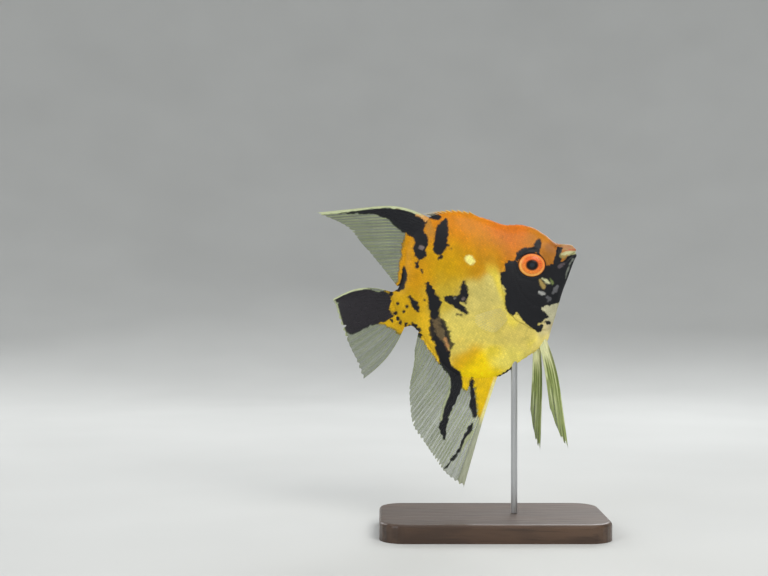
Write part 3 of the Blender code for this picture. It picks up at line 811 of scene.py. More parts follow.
def scale_tree():
    tree = Tree("lay_scales", Scale="Object", Length=0.0019, Width=0.0017, Thickness=0.0017, Unevenness=0.12,
                Seed=3, Finish="Material")
    source = tree.source
    blade = tree.node("GeometryNodeObjectInfo", Object=source["Scale"]).outputs["Geometry"]
    size = tree.node("CombineXYZ", source["Length"], source["Width"], source["Thickness"]).outputs[0]
    size = tree.vector("MULTIPLY", size, tree.named("size"))
    dice = tree.node("FunctionNodeRandomValue", settings={"data_type": "FLOAT"}, Seed=source["Seed"])
    least = tree.math("SUBTRACT", 1.0, source["Unevenness"])
    uneven = tree.node("MapRange", live(dice.outputs, "Value"), To_Min=least, To_Max=1.0).outputs[0]
    turn = tree.node("FunctionNodeEulerToRotation", tree.named("lie")).outputs[0]
    points = tree.node("GeometryNodeMeshToPoints", source["Geometry"]).outputs[0]
    laid = tree.node("GeometryNodeInstanceOnPoints", Points=points, Instance=blade, Rotation=turn,
                     Scale=tree.vector("SCALE", size, Scale=uneven)).outputs[0]
    real = tree.node("GeometryNodeRealizeInstances", laid).outputs[0]
    kept = tree.node("GeometryNodeStoreNamedAttribute", real, Name="OFBake",
                     settings={"data_type": "FLOAT2", "domain": "CORNER"})
    spot = tree.vector("ADD", tree.named("patch"), tree.named("root"))
    tree.links.new(spot, live(kept.inputs, "Value"))
    return tree.finish(kept.outputs[0])


one_scale = scale_blade()
one_scale.hide_render = True
lay_scales = scale_tree()
print("one scale has", len(one_scale.data.polygons), "faces")

# %% [markdown]
# Roots come in rows that keep their distance along the curve of the side, not in height, so that scales
# near the back and belly aren't stretched. Every other row is shifted by half a scale. The snout and jaws
# are bare, and the head carries smaller scales than the flank.

# %% The roots of the scales
SCALE_EDGE = 0.004  # no root lies closer to the back or the belly line, or to the gill opening
JITTER = {"place": 0.0006, "tip": 0.012, "width": 0.03, "shade": 0.045}  # how unevenly scales lie


def unit(vectors):
    return vectors / np.linalg.norm(vectors, axis=1)[:, None]


def lie_of(tail_way, normal, tip):
    """Euler turns whose X runs down the lie, tipped up by an angle from the skin, and whose Z looks out."""
    x = unit(tail_way - normal * np.sum(tail_way * normal, axis=1)[:, None])
    tip = np.broadcast_to(tip, len(x))[:, None]
    lifted, z = x * np.cos(tip) + normal * np.sin(tip), normal * np.cos(tip) - x * np.sin(tip)
    y = np.cross(z, lifted)
    turn_y = -np.arcsin(np.clip(lifted[:, 2], -1, 1))
    return np.stack([np.arctan2(y[:, 2], z[:, 2]), turn_y, np.arctan2(lifted[:, 1], lifted[:, 0])], axis=1)


def arc_table(back, steps=160):
    """Turns of one cross-section, with the distance from the widest place to each along the skin."""
    turn = np.linspace(-math.pi / 2, math.pi / 2, steps)
    height, width = section(np.full(steps, back), turn)
    travel = np.concatenate([[0], np.cumsum(np.hypot(np.diff(height), np.diff(width)))])
    return turn, travel - np.interp(0, turn, travel)


def ladder(most, gap):
    """Distances of rows from the widest place to past the edge, closer together near the edge."""
    rows = [0.0]
    while abs(rows[-1]) < abs(most):
        rows.append(rows[-1] + math.copysign(gap, most) * (1 - 0.30 * (rows[-1] / most) ** 2))
    return rows


def rows_of_roots(keep, first, last, pitch, row_gap, narrowing):
    """Roots of one side in (back, turn) with their size, for columns from first to last."""
    reach = [arc_table(back)[1] for back in np.linspace(0.3, 0.9, 13)]
    most_up, most_down = max(arc[-1] for arc in reach), min(arc[0] for arc in reach)
    rows = np.array(ladder(most_down, row_gap)[:0:-1] + ladder(most_up, row_gap))
    odd = np.arange(len(rows)) % 2
    found = []
    for column, back in enumerate(np.arange(first, last, pitch / 2)):
        turn, arc = arc_table(min(back, 1 - 2 * PIT))
        shrink = np.where(rows > 0, arc[-1] / most_up, arc[0] / most_down) ** narrowing
        place = rows * shrink
        ours = (odd == column % 2) & (place < arc[-1] - SCALE_EDGE) & (place > arc[0] + SCALE_EDGE)
        place, shrink = place[ours], shrink[ours]
        edge = place / np.where(place > 0, arc[-1], arc[0])
        size = (0.55 + 0.45 * shrink) * (1 - 0.22 * edge**2)
        found.append(np.stack([np.full(place.shape, back), np.interp(place, arc, turn), size], axis=1))
    found = np.concatenate(found)
    return found[keep(found[:, 0], section(found[:, 0], found[:, 1])[0])]


def surface(back, turn, side, step=0.0015):
    """Points of the skin, its outward normal, the way to the tail, and the height, on one side."""
    def spot(b, t):
        height, width = section(b, np.clip(t, -1.57, 1.57))
        return placed(b, height, width * stalk_end(b) * side)

    height = section(back, turn)[0]
    aft = spot(back + step, turn) - spot(back - step, turn)
    up = spot(back, turn + step) - spot(back, turn - step)
    normal = unit(np.cross(up, aft) * -side)
    return spot(back, turn) + normal * (relief(back, height) * LENGTH)[:, None], normal, aft, height


def is_flank(back, height):
    """Behind the gill opening, and the nape down to the brow."""
    gap, _, behind = from_line(GILL_EDGE, back, height)
    trunk = (back > 0.36) & ((behind > 0) | (height > 0.065)) & (gap > SCALE_EDGE)
    nape = (height > mix(0.10, 0.075, smooth(back, 0.15, 0.35))) & (back > 0.16)
    return (trunk | nape) & (back < 0.992)


def is_cheek(back, height):
    """Before the gill opening and round the eye, down to the throat."""
    gap, _, behind = from_line(GILL_EDGE, back, height)
    before = ((behind < 0) & (gap > 0.010)) | (back < 0.25)
    box = (back > 0.165) & (back < 0.45) & (height < 0.075) & (height > -0.30)
    return box & before & (from_eye(back, height) > 1.12) & ~is_flank(back, height)


def cover_with_scales(made, **sizes):
    """Grows a scale on every root of an object, and hangs it on the root body."""
    count = len(made.data.vertices)
    grown(lay_scales, made, Scale=one_scale, Finish=scale_look, **sizes)
    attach(made, "root")
    print(made.name, count, "scales of", len(one_scale.data.polygons), "faces")


def coat(name, roots, side, tip, rise, **sizes):
    """Scales of one side of the fish from their roots; each takes its tint from the skin under it."""
    back, turn, size = roots.T
    dice = np.random.default_rng(11)
    back = back + dice.normal(0, JITTER["place"], back.shape)
    point, normal, aft, height = surface(back, turn, side)
    made = mesh_object(name, point + normal * rise)
    store(made, "lie", lie_of(aft, normal, tip + dice.normal(0, JITTER["tip"], back.shape)))
    store(made, "size", np.stack([size, size * dice.normal(1, JITTER["width"], back.shape), size], axis=1))
    store(made, "root", unwrapped(back, height, side))
    colour, dark = markings(back, height, side)
    shade = 1 + dice.normal(0, JITTER["shade"], back.shape) * (1 - 0.5 * dark)
    cover_with_scales(made, **sizes)
    spots = read(made.data.vertices, "co", 3)
    each = len(spots) // len(back)
    colour = mix(markings(*level_of(spots), side)[0], np.repeat(colour, each, axis=0), 0.35)
    store(made, "tint", colour * np.repeat(shade, each)[:, None])


# %% [markdown]
# A scale is clear horn over pigment, so its middle takes the colour of the skin beneath, and its rim is a
# little darker. The coat has the same wet gloss as the skin.

# %% The scale finish
def scale_finish():
    made = Finish("scales", **WET)
    edge = made.span(made.attribute("rim"), 0.55, 1.0, 1.0, 0.84)
    growth = made.spread(made.grain(3800, 2), 0.94, 1.06)
    return made.end(Base_Color=made.tinted(made.math("MULTIPLY", edge, growth)),
                    Roughness=made.spread(made.grain(1500, 3), 0.36, 0.52),
                    Normal=made.bump(made.grain(5200, 2), 0.18, 0.00004))


scale_look = scale_finish()
FLANK_SCALE = {"Length": 0.00230, "Width": 0.0019, "Thickness": 0.0019}
CHEEK_SCALE = {"Length": 0.00155, "Width": 0.00125, "Thickness": 0.0013}
flank_roots = rows_of_roots(is_flank, first=0.14, last=0.99, pitch=0.0158, row_gap=0.0088, narrowing=0.40)
cheek_roots = rows_of_roots(is_cheek, first=0.15, last=0.46, pitch=0.0105, row_gap=0.0060, narrowing=0.0)
for side, word in SIDES:
    coat(f"flank_scales_{word}", flank_roots, side, tip=0.115, rise=0.00004, **FLANK_SCALE)
    coat(f"cheek_scales_{word}", cheek_roots, side, tip=0.100, rise=0.00002, **CHEEK_SCALE)

# %% [markdown]
# ## The eyes
# A fish's eye is a flattened ball whose clear front is nearly flat, with the round lens bulging through the
# pupil. Each eye is spun from a profile: the lens, the thin lip of the iris, the iris, and the rim that
# goes down into the socket. The iris colour is a function of the distance from the middle and the turn
# round it.

# %% The eyes
PUPIL, EYE_REAR = 0.385, -0.6  # share of the way out, share of the full depth
CROWDING = 0.92  # crowds the rows of points a little towards a rim
EYE_PROFILE = curve_through([  # share of the way out from the middle, share of the full depth
    (0.00, 1.010), (0.16, 1.000), (0.32, 0.955), (0.38, 0.925), (0.41, 0.935), (0.455, 0.930), (0.62, 0.850),
    (0.75, 0.725), (0.86, 0.570), (0.93, 0.420), (0.975, 0.260), (1.00, 0.0),
])
RED_IRIS, ORANGE_IRIS, GOLD_RING, BROWN_RING = map(tint, ("E0682C", "EA8430", "FFC060", "6A2412"))
# The last of these tints is painted shade, on the rim of the eye where it goes down into the socket.
LENS_GLEAM, PUPIL_BLACK, EYE_RIM_SHADE = map(tint, ("252C36", "0E0808", "160D0A"))


def eye_colour(share, turn):
    """Colour of the eye at a share of the way out, and a turn round it from the tail side."""
    streak = noise(turn * 6 + 40, share * 3, 0.35, 21) * 0.6 + noise(turn * 16 + 90, share * 4, 0.4, 22) * 0.4
    low = smooth(-np.sin(turn - 0.5), -0.7, 0.9)
    iris = mix(RED_IRIS, ORANGE_IRIS, low[..., None]) * (0.74 + 0.5 * streak)[..., None]
    pupil = mix(LENS_GLEAM, PUPIL_BLACK, smooth(share, 0.10, 0.25)[..., None])
    for tone, cover in (
        (GOLD_RING, bell(share - 0.81, 0.075) * (0.35 + 0.5 * low)),
        (BROWN_RING, bell(share - 0.43, 0.025) * 0.85),
        (pupil, 1 - smooth(share, PUPIL - 0.01, PUPIL + 0.045)),
        # painted shade on the rim where the eye goes down into the socket
        (EYE_RIM_SHADE, smooth(share, 0.885, 0.935)),
    ):
        iris = mix(iris, tone, cover[..., None])
    return iris


def eye_finish():
    made = Finish("eye", Coat_Weight=0.30, Coat_Roughness=0.03, Roughness=0.40, Specular_IOR_Level=0.15)
    return made.end(Base_Color=made.tinted(made.spread(made.grain(3000, 4), 0.85, 1.15)),
                    Normal=made.bump(made.grain(2400, 3), 0.12, 0.00004))


def eyeball(word, side, around=96, rings=56):
    """One eye, spun from its profile, with its long axis level."""
    share, turn = lattice(np.linspace(0, 1, rings + 1)[1:] ** CROWDING, turns(around))
    ripple = wobble(turn * 8 + 30, share * 5, 0.5, 23, 0.006) * smooth(share, PUPIL, PUPIL + 0.1)
    along, across = share * np.cos(turn) * EYE_LONG, share * np.sin(turn) * EYE_SHORT
    front = placed(EYE[0] + along * COS - across * SIN, EYE[1] + along * SIN + across * COS,
                   side * (EYE_OUT + EYE_DEPTH * (EYE_PROFILE(share) + ripple)))
    depth = EYE_DEPTH * np.array([EYE_PROFILE(0), EYE_REAR])
    poles = placed(*np.full((2, 2), EYE).T, side * (EYE_OUT + depth))
    count = len(front)
    faces = [*grid_faces(rings, around, wrap=True)[:, ::-1], *fan(count, 0, around),
             *fan(count + 1, count - around, around, -1)]
    made = mesh_object(f"ball_{word}", np.concatenate([front, poles]), [face[::-side] for face in faces])
    colour = eye_colour(share.ravel(), turn.ravel())
    store(made, "tint", np.concatenate([colour, colour[:1], colour[-1:]]))
    made.data.materials.append(eye_look)
    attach(made, "root")
    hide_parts(f"eye_{word}")
    print(made.name, len(made.data.polygons), "faces")


eye_look = eye_finish()
for side, word in SIDES:
    eyeball(word, side)

# %% [markdown]
# ## The fins
# A fin is a clear membrane on thin rays. A few key rays give its outline: where each is rooted, its
# headings at root and tip, and its length. A sheet between them says where any place on the fin lies. The
# membrane is a closed thin plate on that sheet. The rays are fine tubes that follow it and fork towards the
# edge.

# %% The sheets of the fins
DORSAL_RAYS = [
    (0.668, 0.385, 48, 12, 0.625), (0.735, 0.340, 38, 16, 0.400), (0.815, 0.285, 28, 16, 0.250),
    (0.875, 0.190, 20, 12, 0.118), (0.915, 0.110, 12, 8, 0.036),
]
ANAL_RAYS = [
    (0.580, -0.465, -53, -56, 0.640), (0.650, -0.455, -58, -42, 0.550), (0.735, -0.420, -56, -40, 0.455),
    (0.805, -0.365, -48, -34, 0.370), (0.860, -0.240, -48, -40, 0.265), (0.905, -0.130, -54, -60, 0.120),
]
TAIL_RAYS = [
    (0.968, 0.078, 38, -12, 0.352), (0.968, 0.040, 20, 2, 0.328), (0.968, 0.000, -2, -8, 0.322),
    (0.968, -0.040, -26, -16, 0.330), (0.968, -0.082, -50, -20, 0.372),
]
SPINY_RAYS = [
    (0.430, 0.315, 58, 50, 0.075), (0.500, 0.352, 53, 44, 0.076), (0.570, 0.380, 45, 34, 0.073),
    (0.620, 0.390, 43, 34, 0.068), (0.650, 0.392, 46, 38, 0.066),
]
PELVIC_RAYS = [
    (0.300, -0.385, -93, -79, 0.575), (0.319, -0.392, -90, -79, 0.500), (0.338, -0.400, -86, -78, 0.330),
]
LEFT_PELVIC = (0.034, -0.034 / 3, 15, 7.5, 0)
PECTORAL_RAYS = [
    (-0.030, 0.022, 14, 2, 0.200), (-0.030, 0.012, 4, -4, 0.215), (-0.030, 0.000, -8, -10, 0.200),
    (-0.030, -0.012, -20, -16, 0.165), (-0.030, -0.022, -32, -24, 0.125),
]
PECTORAL_ROOT, PECTORAL_SWING = (0.468, -0.190), math.radians(24)
PECTORAL_TURN, PECTORAL_SUNK = math.radians(20), 0.004  # where round the body it is rooted, and how deep
SWEEP, FAN = 0.55, 1.0  # how far along a ray its heading has finished turning


class Sheet:
    """The middle surface of a fin: across runs from the first key ray to the last, along from root to tip."""

    def __init__(self, rays, lean, bend=SWEEP, move=None, across_steps=240, along_steps=160):
        across, places = np.linspace(0, 1, across_steps), np.linspace(0, 1, len(rays))
        back, height, start, end, self.lengths = (
            curve_through(list(zip(places, column)))(across)[:, None] for column in zip(*rays)
        )
        share = (np.arange(along_steps) + 0.5) / along_steps / bend
        heading = np.radians(start + (end - start) * smooth(share)[None, :])
        step = self.lengths / along_steps
        zero = np.zeros((across_steps, 1))
        back, height = (root + np.concatenate([zero, np.cumsum(step * way(heading), axis=1)], axis=1)
                        for root, way in ((back, np.cos), (height, np.sin)))
        side = lean(across[:, None], np.linspace(0, 1, along_steps + 1)[None, :]) * np.ones_like(back)
        self.level = np.stack([back, height, side], axis=-1)
        if move is not None:
            self.level = move(self.level)

    def at(self, across, along):
        """Level (back, height, side) at places on the sheet."""
        across, along = np.broadcast_arrays(np.clip(across, 0, 1), np.clip(along, 0, 1))
        rows, columns = self.level.shape[0] - 1, self.level.shape[1] - 1
        u, v = across * rows, along * columns
        i, j = np.minimum(u.astype(int), rows - 1), np.minimum(v.astype(int), columns - 1)
        p, q = (u - i)[..., None], (v - j)[..., None]
        grid = self.level
        return mix(mix(grid[i, j], grid[i + 1, j], p), mix(grid[i, j + 1], grid[i + 1, j + 1], p), q)

    def points(self, across, along, lift=0.0, h=0.004):
        """Points in metres, lifted off the sheet along its normal by lift metres."""
        u = self.at(across + h, along) - self.at(across - h, along)
        v = self.at(across, along + h) - self.at(across, along - h)
        normal = np.cross(u, v)
        normal /= np.linalg.norm(normal, axis=-1)[..., None] + 1e-12
        normal *= np.where(normal[..., 2:] < 0, -1, 1)
        here = self.at(across, along) + normal * (np.asarray(lift)[..., None] / LENGTH)
        return placed(here[..., 0], here[..., 1], here[..., 2]).reshape(*here.shape)


def wave(size, count, start=0.0):
    """A slow ripple from ray to ray, widest at the tips."""
    return lambda across, along: size * along**2 * np.sin(2 * math.pi * (count * across + start))


def splayed(side):
    """A lean outwards from the root to the tips."""
    return lambda across, along: side * (0.016 + 0.070 * along**1.3 - 0.012 * across)


def cupped(side):
    """A hollow like a spoon's."""
    return lambda across, along: side * 0.018 * along**2 * np.sin(math.pi * across)


def at_shoulder(side):
    """Moves a pectoral fin to its root on the side of the fish, swung out."""
    out = float(half_width(PECTORAL_ROOT[0])) * math.cos(PECTORAL_TURN) - PECTORAL_SUNK
    c, s = math.cos(PECTORAL_SWING), math.sin(PECTORAL_SWING)

    def move(level):
        back, height, across = np.moveaxis(level, -1, 0)
        return np.stack([PECTORAL_ROOT[0] + back * c - side * across * s, PECTORAL_ROOT[1] + height,
                         side * out + across * c + side * back * s], axis=-1)

    return move


SHEETS = {
    "fin_dorsal_spines": Sheet(SPINY_RAYS, wave(0.004, 1.0)),
    "fin_dorsal": Sheet(DORSAL_RAYS, wave(0.022, 0.8, 0.05)),
    "fin_anal": Sheet(ANAL_RAYS, wave(-0.020, 0.9, 0.1)),
    "fin_tail": Sheet(TAIL_RAYS, wave(0.024, 1.1, 0.15), FAN),
    "fin_pelvic_right": Sheet(PELVIC_RAYS, splayed(-1)),
    "fin_pelvic_left": Sheet([np.add(ray, LEFT_PELVIC) for ray in PELVIC_RAYS], splayed(1)),
    "fin_pectoral_right": Sheet(PECTORAL_RAYS, cupped(-1), move=at_shoulder(-1)),
    "fin_pectoral_left": Sheet(PECTORAL_RAYS, cupped(1), move=at_shoulder(1)),
}
print("dorsal filament", round(float(SHEETS["fin_dorsal"].lengths[0, 0]) * LENGTH * 1000, 1), "mm")

# %% [markdown]
# ## The colours of the fins
# Each fin has its own scheme: tones laid one after another over a clear ground, such as skin colour that runs
# out from the body along its root, black patches or stripes, and a pale leading edge. Each tone comes with
# its share, which says where it lies, and with how solid it makes the fin there.

# %% The schemes of the fins
CLEAR, RAY_TINT, AMBER, SOOT = map(tint, ("55623A", "C2CA98", "D9A05A", "29272B"))
PALE_EDGE, CREAM_EDGE, GREY_EDGE = map(tint, ("C6CEA4", "EDE6A0", "B4B8A0"))
SPINE_BROWN, SPINE_GOLD, SPINE_CREAM = map(tint, ("8A5A20", "E8C868", "E6E2C8"))
BRIGHT_GOLD, DULL_GOLD, PECTORAL_CREAM = map(tint, ("EFC80C", "D6B018", "EFE6B0"))
FEELER_ROOT, FEELER_GREEN, FEELER_DARK, FEELER_PALE = map(tint, ("E4E2B0", "8E9C58", "5C6A34", "D2D8A6"))
CLEAR_SOLID = 0.36
DORSAL_BLACK = thousandths([
    [(1120, 573, 3), (1086, 566, 5), (1015, 544, 8), (955, 526, 14), (905, 509, 22), (864, 486, 31),
     (827, 449, 46), (797, 407, 50), (773, 361, 37)],
    [(811, 466, 31), (769, 425, 31), (732, 386, 26), (735, 330, 20)],
])
TAIL_BLACK = thousandths([
    (1276, 183), (1229, 192), (1177, 184), (1109, 156), (1056, 117), (1006, 101), (996, 65), (1022, 10),
    (1010, -33), (1060, -40), (1160, -40), (1231, -51), (1268, -45), (1285, 4), (1282, 64), (1272, 127),
])
ANAL_STRIPES = thousandths([
    [(805, -424, 30), (810, -459, 31), (833, -500, 26), (862, -533, 22), (888, -568, 20), (913, -596, 17),
     (932, -627, 17), (951, -657, 19), (956, -692, 14), (962, -722, 5)],
    [(734, -477, 15), (743, -505, 8), (751, -551, 10), (762, -584, 15), (770, -618, 17), (775, -648, 13)],
    [(804, -695, 8), (823, -717, 13), (853, -750, 13), (887, -782, 10), (920, -808, 7), (958, -832, 7),
     (991, -858, 5), (1012, -866, 4)],
])
ANAL_GOLD = thousandths([
    (773, -436), (782, -472), (785, -507), (769, -509), (747, -483), (724, -496), (734, -553), (746, -605),
    (758, -661), (746, -690), (712, -670), (670, -620), (620, -560), (570, -490), (560, -450), (658, -386),
    (746, -401),
])
ANAL_PALE = thousandths([
    [(809, -728, 7), (857, -764, 8), (893, -798, 5)],
    [(837, -419, 4), (863, -496, 4), (916, -559, 5), (950, -621, 4)],
])


def inside_by(back, height):
    """How far a place lies inside the outline of the body."""
    on_body = np.clip(back, 0, 1)
    return np.minimum(back_line(on_body) - height, height - belly_line(on_body))


def near_root(back, height, reach):
    """1 on the body's own outline, and falling to 0 over reach outside it."""
    inner = inside_by(back, height) - np.clip(back - 1, 0, None) + wobble(back, height, 0.020, 31, 0.030)
    return smooth(inner, -reach, -0.2 * reach)


# Each of the next functions gives the tones of one fin in order, from the skin colour there, how uneven the
# edges are, and the place: a tone, its share, and how solid it makes the fin.
def spiny_tones(flesh, rag, across, along, back, height):
    between = np.abs(np.sin(across * 11 * math.pi))
    hind = smooth(across, 0.45, 0.80)
    dark = smooth(between, 0.35, 0.60) * mix(0.20, 1.0, hind) * smooth(along, 0.15, 0.45)
    pale = 0.9 * smooth(0.50 - between, -0.1, 0.1) * smooth(along, 0.30, 0.6)
    return [(flesh, np.ones_like(back), 1), (mix(SPINE_BROWN, BLACK, hind[..., None]), dark, 1),
            (mix(SPINE_GOLD, SPINE_CREAM, hind[..., None]), pale, 1)]


def dorsal_tones(flesh, rag, across, along, back, height):
    lead = from_line(SHEETS["fin_dorsal"].level[0, ::16, :2].tolist(), back, height)[0]
    width = mix(0.010, 0.014, smooth(along, 0.5, 0.9))
    return [(flesh, near_root(back, height, 0.055), 1),
            (AMBER, smooth(across, 0.30, 0.06) * smooth(along, 0.42, 0.12), 1),
            (BLACK, painted(from_lines(DORSAL_BLACK, back, height), rag), 0.98),
            (PALE_EDGE, painted(lead - width, 0.5 * rag) * smooth(along, 0.05, 0.14), 1)]


def anal_tones(flesh, rag, across, along, back, height):
    gold = mix(BRIGHT_GOLD, DULL_GOLD, noise(back, height, 0.03, 35)[..., None])
    lead = mix(GREY_EDGE, CREAM_EDGE, smooth(along, 0.50, 0.40)[..., None])
    return [(flesh, near_root(back, height, 0.05), 1),
            (gold, smooth(-from_patch(ANAL_GOLD, back, height) - 1.5 * rag, -0.012, 0.010), 1),
            (BLACK, painted(from_lines(ANAL_STRIPES, back, height), rag), 0.95),
            (PALE_EDGE, 0.7 * painted(from_lines(ANAL_PALE, back, height), 0.5 * rag), 0.9),
            (lead, 0.9 * smooth(0.050 - across, -0.012, 0.015) * smooth(along, 0.03, 0.12), 0.95),
            (PALE_EDGE, 0.30 * smooth(along, 0.97, 0.995), 0.6)]


def tail_tones(flesh, rag, across, along, back, height):
    rim = np.maximum(painted(across - 0.030, rag, 0.01) * smooth(along, 0.35, 0.5),
                     0.8 * smooth(along, 0.955, 0.985) * smooth(0.62 - across, 0.0, 0.1))
    return [(flesh, near_root(back, height, 0.045), 1),
            (SOOT, painted(from_patch(TAIL_BLACK, back, height), 1.3 * rag, 0.004), 0.98),
            (PALE_EDGE, rim, 0.95)]


def pelvic_tones(flesh, rag, across, along, back, height):
    streak = noise(across * 9, along * 3, 1.0, 37)
    solid = mix(0.98, 0.66, smooth(along, 0.05, 0.9)) + 0.2 * smooth(0.25 - across, 0, 0.2)
    ground_tone = mix(FEELER_ROOT, FEELER_GREEN, smooth(along, 0.04, 0.38)[..., None])
    return [(ground_tone, np.ones_like(back), solid),
            (FEELER_DARK, 0.75 * smooth(streak, 0.52, 0.72) * smooth(along, 0.03, 0.12), solid),
            (FEELER_PALE, 0.80 * smooth(streak, 0.42, 0.22), solid)]


def pectoral_tones(flesh, rag, across, along, back, height):
    return [(PECTORAL_CREAM, np.ones_like(back), mix(0.5, 0.05, smooth(along, 0.02, 0.16)))]


def fin_scheme(name, across, along, level):
    """Colour of a fin, and how solid it is, at places on its sheet."""
    back, height = level[..., 0], level[..., 1]
    rag = wobble(back, height, 0.014, 7, 0.010) + wobble(back, height, 0.04, 8, 0.005)
    flesh = markings(back, height, 1 if "left" in name else -1)[0]
    colour = CLEAR * (0.85 + 0.3 * noise(back, height, 0.05, 33))[..., None]
    solid = CLEAR_SOLID + wobble(across * 30, along, 0.6, 34, 0.10)
    for tone, share, cover in FINS[name].tones(flesh, rag, across, along, back, height):
        colour, solid = mix(colour, tone, share[..., None]), mix(solid, cover, share)
    return colour, np.clip(solid, 0, 1)


Fin = namedtuple("Fin", "tones rays spines girth columns rows root edge scallop")
FINS = {  # tones; rays, spines, their girth; points across and along; thickness at root and edge; scallops
    "fin_dorsal_spines": Fin(spiny_tones, 12, 12, 0.00022, 150, 26, 0.0009, 0.00030, 0.30),
    "fin_dorsal": Fin(dorsal_tones, 27, 1, 0.00022, 240, 110, 0.0009, 0.00016, 0.018),
    "fin_anal": Fin(anal_tones, 32, 6, 0.00022, 260, 100, 0.0009, 0.00016, 0.020),
    "fin_tail": Fin(tail_tones, 18, 0, 0.00022, 190, 90, 0.0012, 0.00018, 0.020),
}
for _, word in SIDES:
    FINS[f"fin_pelvic_{word}"] = Fin(pelvic_tones, 5, 1, 0.00030, 44, 130, 0.0010, 0.00022, 0.04)
    FINS[f"fin_pectoral_{word}"] = Fin(pectoral_tones, 13, 0, 0.00010, 110, 60, 0.0007, 0.00014, 0.05)
print(len(FINS), "fins, each with its scheme")

# %% [markdown]
# The membrane's edge is scalloped: it hangs back a little between the rays, and here and there it is
# nicked. Its two faces are joined round the rim, so it is a closed thin plate and not a sheet of paper.

# %% The membranes
THIN_FROM = 0.45  # share of the way out where a fin has thinned to its edge


def outward(obj):
    """Turns the faces of a closed mesh outwards."""
    mesh = bmesh.new()
    mesh.from_mesh(obj.data)
    bmesh.ops.recalc_face_normals(mesh, faces=mesh.faces)
    mesh.to_mesh(obj.data)
    mesh.free()


def membrane(name):
    """The plate of a fin, thinnest at its edge and a little thicker along its rays."""
    fin, sheet = FINS[name], SHEETS[name]
    across, along = lattice(np.linspace(0, 1, fin.columns), np.linspace(0, 1, fin.rows) ** CROWDING)
    between = np.abs(np.sin(across * (fin.rays - 1) * math.pi))
    dip = fin.scallop * between**1.5
    if fin.scallop < 0.2:  # soft rays, not spines
        nick = smooth(noise(across * fin.rays, 0 * across, 0.9, 41), 0.80, 0.92) * 0.05
        dip = dip * (0.3 + 1.2 * noise(across * fin.rays, 0 * across, 1.7, 42)) + nick * between
    place = along * (1 - dip)
    ridge = 0.5 * (1 - between) ** 2 * smooth(1 - along, 0.0, 0.5)
    thick = mix(fin.root, fin.edge, smooth(along, 0.0, THIN_FROM)) * (1 + ridge)
    colour, solid = fin_scheme(name, across, place, sheet.at(across, place))
    front, rear = (sheet.points(across, place, way * thick / 2).reshape(-1, 3) for way in (-1, 1))
    faces = grid_faces(fin.columns, fin.rows)
    number = np.arange(across.size).reshape(across.shape)
    rim = np.concatenate([number[:, 0], number[-1, 1:], number[-2::-1, -1], number[0, -2:0:-1]])
    after = np.roll(rim, -1)
    wall = np.stack([rim, rim + across.size, after + across.size, after], axis=1)
    faces = [*faces, *faces[:, ::-1] + across.size, *wall]
    made = mesh_object(name + "_web", np.concatenate([front, rear]), faces)
    outward(made)
    store(made, "tint", np.tile(colour.reshape(-1, 3), (2, 1)))
    for label, values in (("solid", solid), ("across", across * (fin.rays - 1)), ("along", place * 100)):
        store(made, label, np.tile(values.ravel(), 2))
    made.data.materials.append(web_look)
    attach(made, "root")
    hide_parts(name)
    print(made.name, len(made.data.polygons), "faces")


# %% [markdown]
# Membrane is clear, wet and faintly grained along the rays. Its alpha comes from how solid the scheme says
# it is.

# %% The membrane finish
def web_finish():
    made = Finish("membrane", Coat_Weight=0.04, Coat_Roughness=0.20, Specular_IOR_Level=0.15)
    along_rays = made.node("CombineXYZ", made.attribute("across"), made.attribute("along")).outputs[0]
    stretched = made.node("Mapping", Vector=along_rays, Scale=(3.0, 0.06, 1.0)).outputs["Vector"]
    fibre = made.node("TexNoise", Vector=stretched, Scale=2.0, Detail=4.0).outputs["Fac"]
    return made.end(Base_Color=made.tinted(made.spread(fibre, 0.86, 1.12)),
                    Alpha=made.math("MULTIPLY", made.attribute("solid"), made.spread(fibre, 0.88, 1.12)),
                    Roughness=made.spread(made.grain(1200, 3), 0.34, 0.50),
                    Normal=made.bump(fibre, 0.35, 0.0001))


web_look = web_finish()
for name in SHEETS:
    membrane(name)

# %% [markdown]
# ## Scales on the fins
# On an angelfish the scales run out onto the roots of the dorsal, anal and tail fins, where they get small.
# They are laid by the same tree, on both faces of each sheet, wherever the scheme says that the fin is
# fleshy.

# %% Scales on the fins
FIN_SCALE = {"Length": 0.0016, "Width": 0.0012, "Thickness": 0.0012}


def is_scaly(name, across, along, level):
    """The fleshy root of a fin, outside the outline of the body."""
    back, height = level[..., 0], level[..., 1]
    root = near_root(back, height, 0.055) > 0.45
    if name == "fin_anal":
        root |= (from_patch(ANAL_GOLD, back, height) < 0.004) & (along < 0.42)
    if name == "fin_dorsal":
        root |= (across < 0.45) & (along < 0.16)
    return root & ((inside_by(back, height) < SCALE_EDGE) | (back > 0.985))


